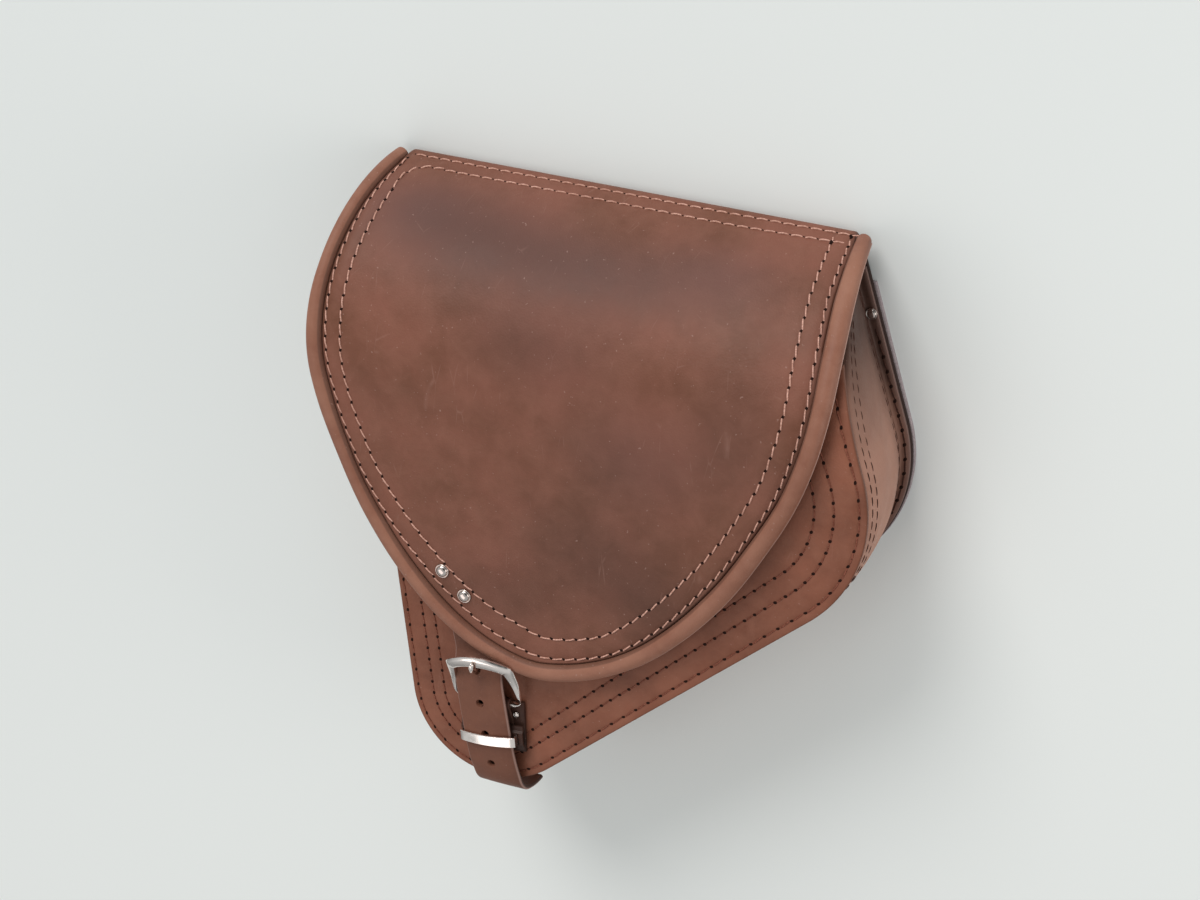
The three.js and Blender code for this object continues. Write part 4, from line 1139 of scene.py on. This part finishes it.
def on_lid(flat, lift=0.0):
    """Flat places of the lid on its upper face, and the ways out of the leather there."""
    middle = lid_point(flat[:, 0], flat[:, 1], 0)
    top = lid_point(flat[:, 0], flat[:, 1], lid_face(flat)[0] + lift)
    return top, unit(top - middle)


def lid_row(kind, low, high):
    """A stitch row down one side of the lid, round its lowest point and up the other side."""
    shares = np.linspace(low, high, 700)
    return on_lid(even(lid_line(lid_inset(kind, shares), shares), step=1.0))


def panel_row(edge, inset, z, bent=True):
    """A stitch row inside a panel's edge, bent back with the panel under the lid."""
    points, normals, at = edge
    distance = inset(at) if callable(inset) else inset
    line = even(points - normals * np.reshape(distance, (-1, 1)), step=1.0)
    rise = np.clip(line[:, 1] - BROW_Y, 0, None) * bent
    height = np.sqrt((z - BROW_Z) ** 2 - rise ** 2) + BROW_Z
    ways = np.column_stack([np.zeros(len(line)), rise, height - BROW_Z])
    return np.column_stack([line, height]), unit(ways)


lid_side_rows = [lid_row("outer", 0.018, 0.986), lid_row("inner", 0.055, 0.978)]
around = np.radians(np.linspace(180, 90, 12))[:, None]
inner_corner = np.array([-100.5, 30.0]) + np.hstack([14 * np.cos(around), -14 * np.sin(around)])
lid_top_rows = [on_lid(even(points, step=1.0), 0.12) for points in (
    [(-116, TOP_ROWS[0]), (-60, TOP_ROWS[0] + 0.2), (60, TOP_ROWS[0]), (120, 7.6)],
    [(-114.6, 37), *inner_corner, (-60, TOP_ROWS[1]), (60, TOP_ROWS[1]), (112.6, 14.5)],
)]
corners = [on_lid(even([(x, along), (x, along + 0.3)], step=0.1)) for x, along in ((120.4, 7.6), (112.9, 14.4))]
front_line_edge = panel_edge(FRONT_TOP_RIGHT, FRONT_TOP_Y - 1)
front_inner = [panel_row(front_line_edge, front_row(k), DEPTH - 0.2) for k in (1, 2)]
front_outer = [panel_row(front_line_edge, front_row(0), DEPTH - 0.4)]
flange = [panel_row(panel_edge(BACK_TOP_RIGHT, 252), 3.4, FLANGE_TOP, bent=False)]
gusset_rows = []
for z in (13.0, 18.5, 66.0, 71.5):
    place = np.interp(z, WALL_Z, WALL_INSET), z, np.interp(z, WALL_Z, WALL_SHARE)
    ways = np.column_stack([front_line[1], np.zeros(len(places))])
    both = even(np.hstack([wall_line(*place), ways])[3:-3], step=1.0)
    gusset_rows.append((both[:, :3], both[:, 3:]))

# name, rows, thread or cut, finish, slot, and in millimetres: pitch, length, half thickness, slant, rise
brown, side = "brown_leather", "side_leather"
for name, rows, tree, finish, slot, *sizes in (
    ("lid_stitches", lid_side_rows, thread, lid_thread, brown, 6.9, 5.7, 0.42, 0.5, 0.8),
    ("lid_awl_cuts", lid_side_rows, cut, needle_hole, brown, 6.9, 2.4, 0.78, 0, 0.3),
    ("lid_top_stitches", lid_top_rows, thread, lid_thread, brown, 6.9, 5.2, 0.45, 0.25, 0.7),
    ("lid_top_awl_cuts", lid_top_rows, cut, needle_hole, brown, 6.9, 1.3, 0.35, 0, 0.12),
    ("lid_corner_holes", corners, cut, needle_hole, brown, 1, 2.6, 1.1, 0, 0.25),
    ("front_stitches", front_inner, thread, worn_thread, brown, 6.7, 5.2, 0.34, 0.3, 0.35),
    ("front_awl_cuts", front_inner, cut, needle_hole, brown, 6.7, 2.2, 0.85, 0, 0.3),
    ("front_edge_stitches", front_outer, thread, worn_thread, brown, 8.9, 7.2, 0.38, 0.4, 0.4),
    ("front_edge_awl_cuts", front_outer, cut, needle_hole, brown, 8.9, 2.5, 0.85, 0, 0.25),
    ("flange_stitches", flange, thread, dark_thread, side, 7.7, 6.2, 0.4, 0.3, 0.5),
    ("flange_awl_cuts", flange, cut, needle_hole, side, 7.7, 2.6, 0.9, 0, 0.2),
    ("gusset_stitches", gusset_rows, thread, dark_thread, side, 6.2, 4.4, 0.32, 0.1, 0.3),
):
    stitched(name, rows, tree, finish, dict(zip(("Pitch", "Length", "Thickness", "Slant", "Rise"), sizes)))


# ------------------------------------------------------------------ floor, light and camera

def plain_floor():
    """A matt, pale grey-green paper sweep under the bag."""
    material, add, shader, place = new_material("matt_paper_floor")
    tooth = add("ShaderNodeTexNoise", Vector=place, Scale=per_mm(300), Detail=2.0)
    colour = add("ShaderNodeMix", COLOURS, i0=tooth, i6="#dfe3e2", i7="#e0e4e3")
    connect(shader, Base_Color=colour, Roughness=1.0, Specular_IOR_Level=0.0)
    mesh = bpy.data.meshes.new("floor")
    wide = 6.0
    mesh.from_pydata([(-wide, -wide, 0), (wide, -wide, 0), (wide, wide, 0), (-wide, wide, 0)], [], [(0, 1, 2, 3)])
    mesh.materials.append(material)
    new_object("floor", mesh)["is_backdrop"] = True


plain_floor()

# where the camera stands, in the pattern frame, and its right, top and back
CAMERA_PLACE = Vector((354.8, 608.4, 902.3))
to_right = Vector((0.9166, 0.0584, -0.3954))
to_back = Vector((0.3360, 0.4234, 0.8413)).normalized()
to_right = (to_right - to_back * to_right.dot(to_back)).normalized()
to_top = to_back.cross(to_right)
turn = Matrix((to_right, to_top, to_back)).transposed()
camera = new_object("camera", bpy.data.cameras.new("camera"))
camera.data.lens = 60
camera.data.sensor_width = 36
camera.data.sensor_fit = "HORIZONTAL"
camera.data.clip_start = 0.05
camera.data.clip_end = 30
camera.matrix_world = Matrix.Translation((CAMERA_PLACE + Vector(shift)) * MM) @ turn.to_4x4()
bpy.context.scene.camera = camera


def add_light(name, kind, way, strength, colour, distance=1.6, **settings):
    """A light that shines at the bag from a side given by how far right, up and back it is."""
    data = bpy.data.lights.new(name, kind)
    data.energy = strength
    data.color = srgb(colour)[:3]
    for key, value in settings.items():
        setattr(data, key, value)
    direction = (to_right * way[0] + to_top * way[1] + to_back * way[2]).normalized()
    new_object(name, data).matrix_world = (
        Matrix.Translation(Vector((0, 0, 0.05)) + direction * distance)
        @ direction.to_track_quat("Z", "Y").to_matrix().to_4x4()
    )


add_light("key", "SUN", (-0.45, 0.6, 0.65), 1.55, "#fffaf6", angle=math.radians(28))
for name, way, strength, colour, distance, size in (
    ("side", (0.78, -0.2, 0.6), 6, "#fff6f0", 1.5, 0.9),
    ("fill", (-0.25, 0.85, 0.8), 6.8, "#f4fbff", 1.8, 1.4),
    ("low", (-0.7, -0.58, 0.42), 4.4, "#fff6f2", 1.6, 1.3),
):
    add_light(name, "AREA", way, strength, colour, distance, shape="RECTANGLE", size=size, size_y=size * 0.7)


def soft_room():
    """A pale room, darker near the floor and behind the camera, so that polished metal has something to mirror."""
    world = bpy.data.worlds.new("soft_room")
    add = start_tree(world)
    way = add("ShaderNodeTexCoord").outputs["Generated"]
    height = add("ShaderNodeSeparateXYZ", Vector=way).outputs["Z"]
    bright = add("ShaderNodeMapRange", Value=height, i1=0.05, i2=0.55, i3=0.25, i4=0.66)
    facing = add("ShaderNodeVectorMath", {"operation": "DOT_PRODUCT"}, i0=way, i1=to_back[:])
    behind = add("ShaderNodeMapRange", Value=facing, i1=0.88, i2=0.97, i3=1.0, i4=0.12)
    lit = add("ShaderNodeMath", {"operation": "MULTIPLY"}, i0=bright, i1=behind)
    room = add("ShaderNodeBackground", Color="#f4f8f8", Strength=lit)
    add("ShaderNodeOutputWorld", i0=room)
    bpy.context.scene.world = world


soft_room()
bpy.context.scene.view_settings.view_transform = "Standard"

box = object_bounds()
sizes = {"cad": [list(v) for v in cad_box], "visual": [list(v) for v in box]}
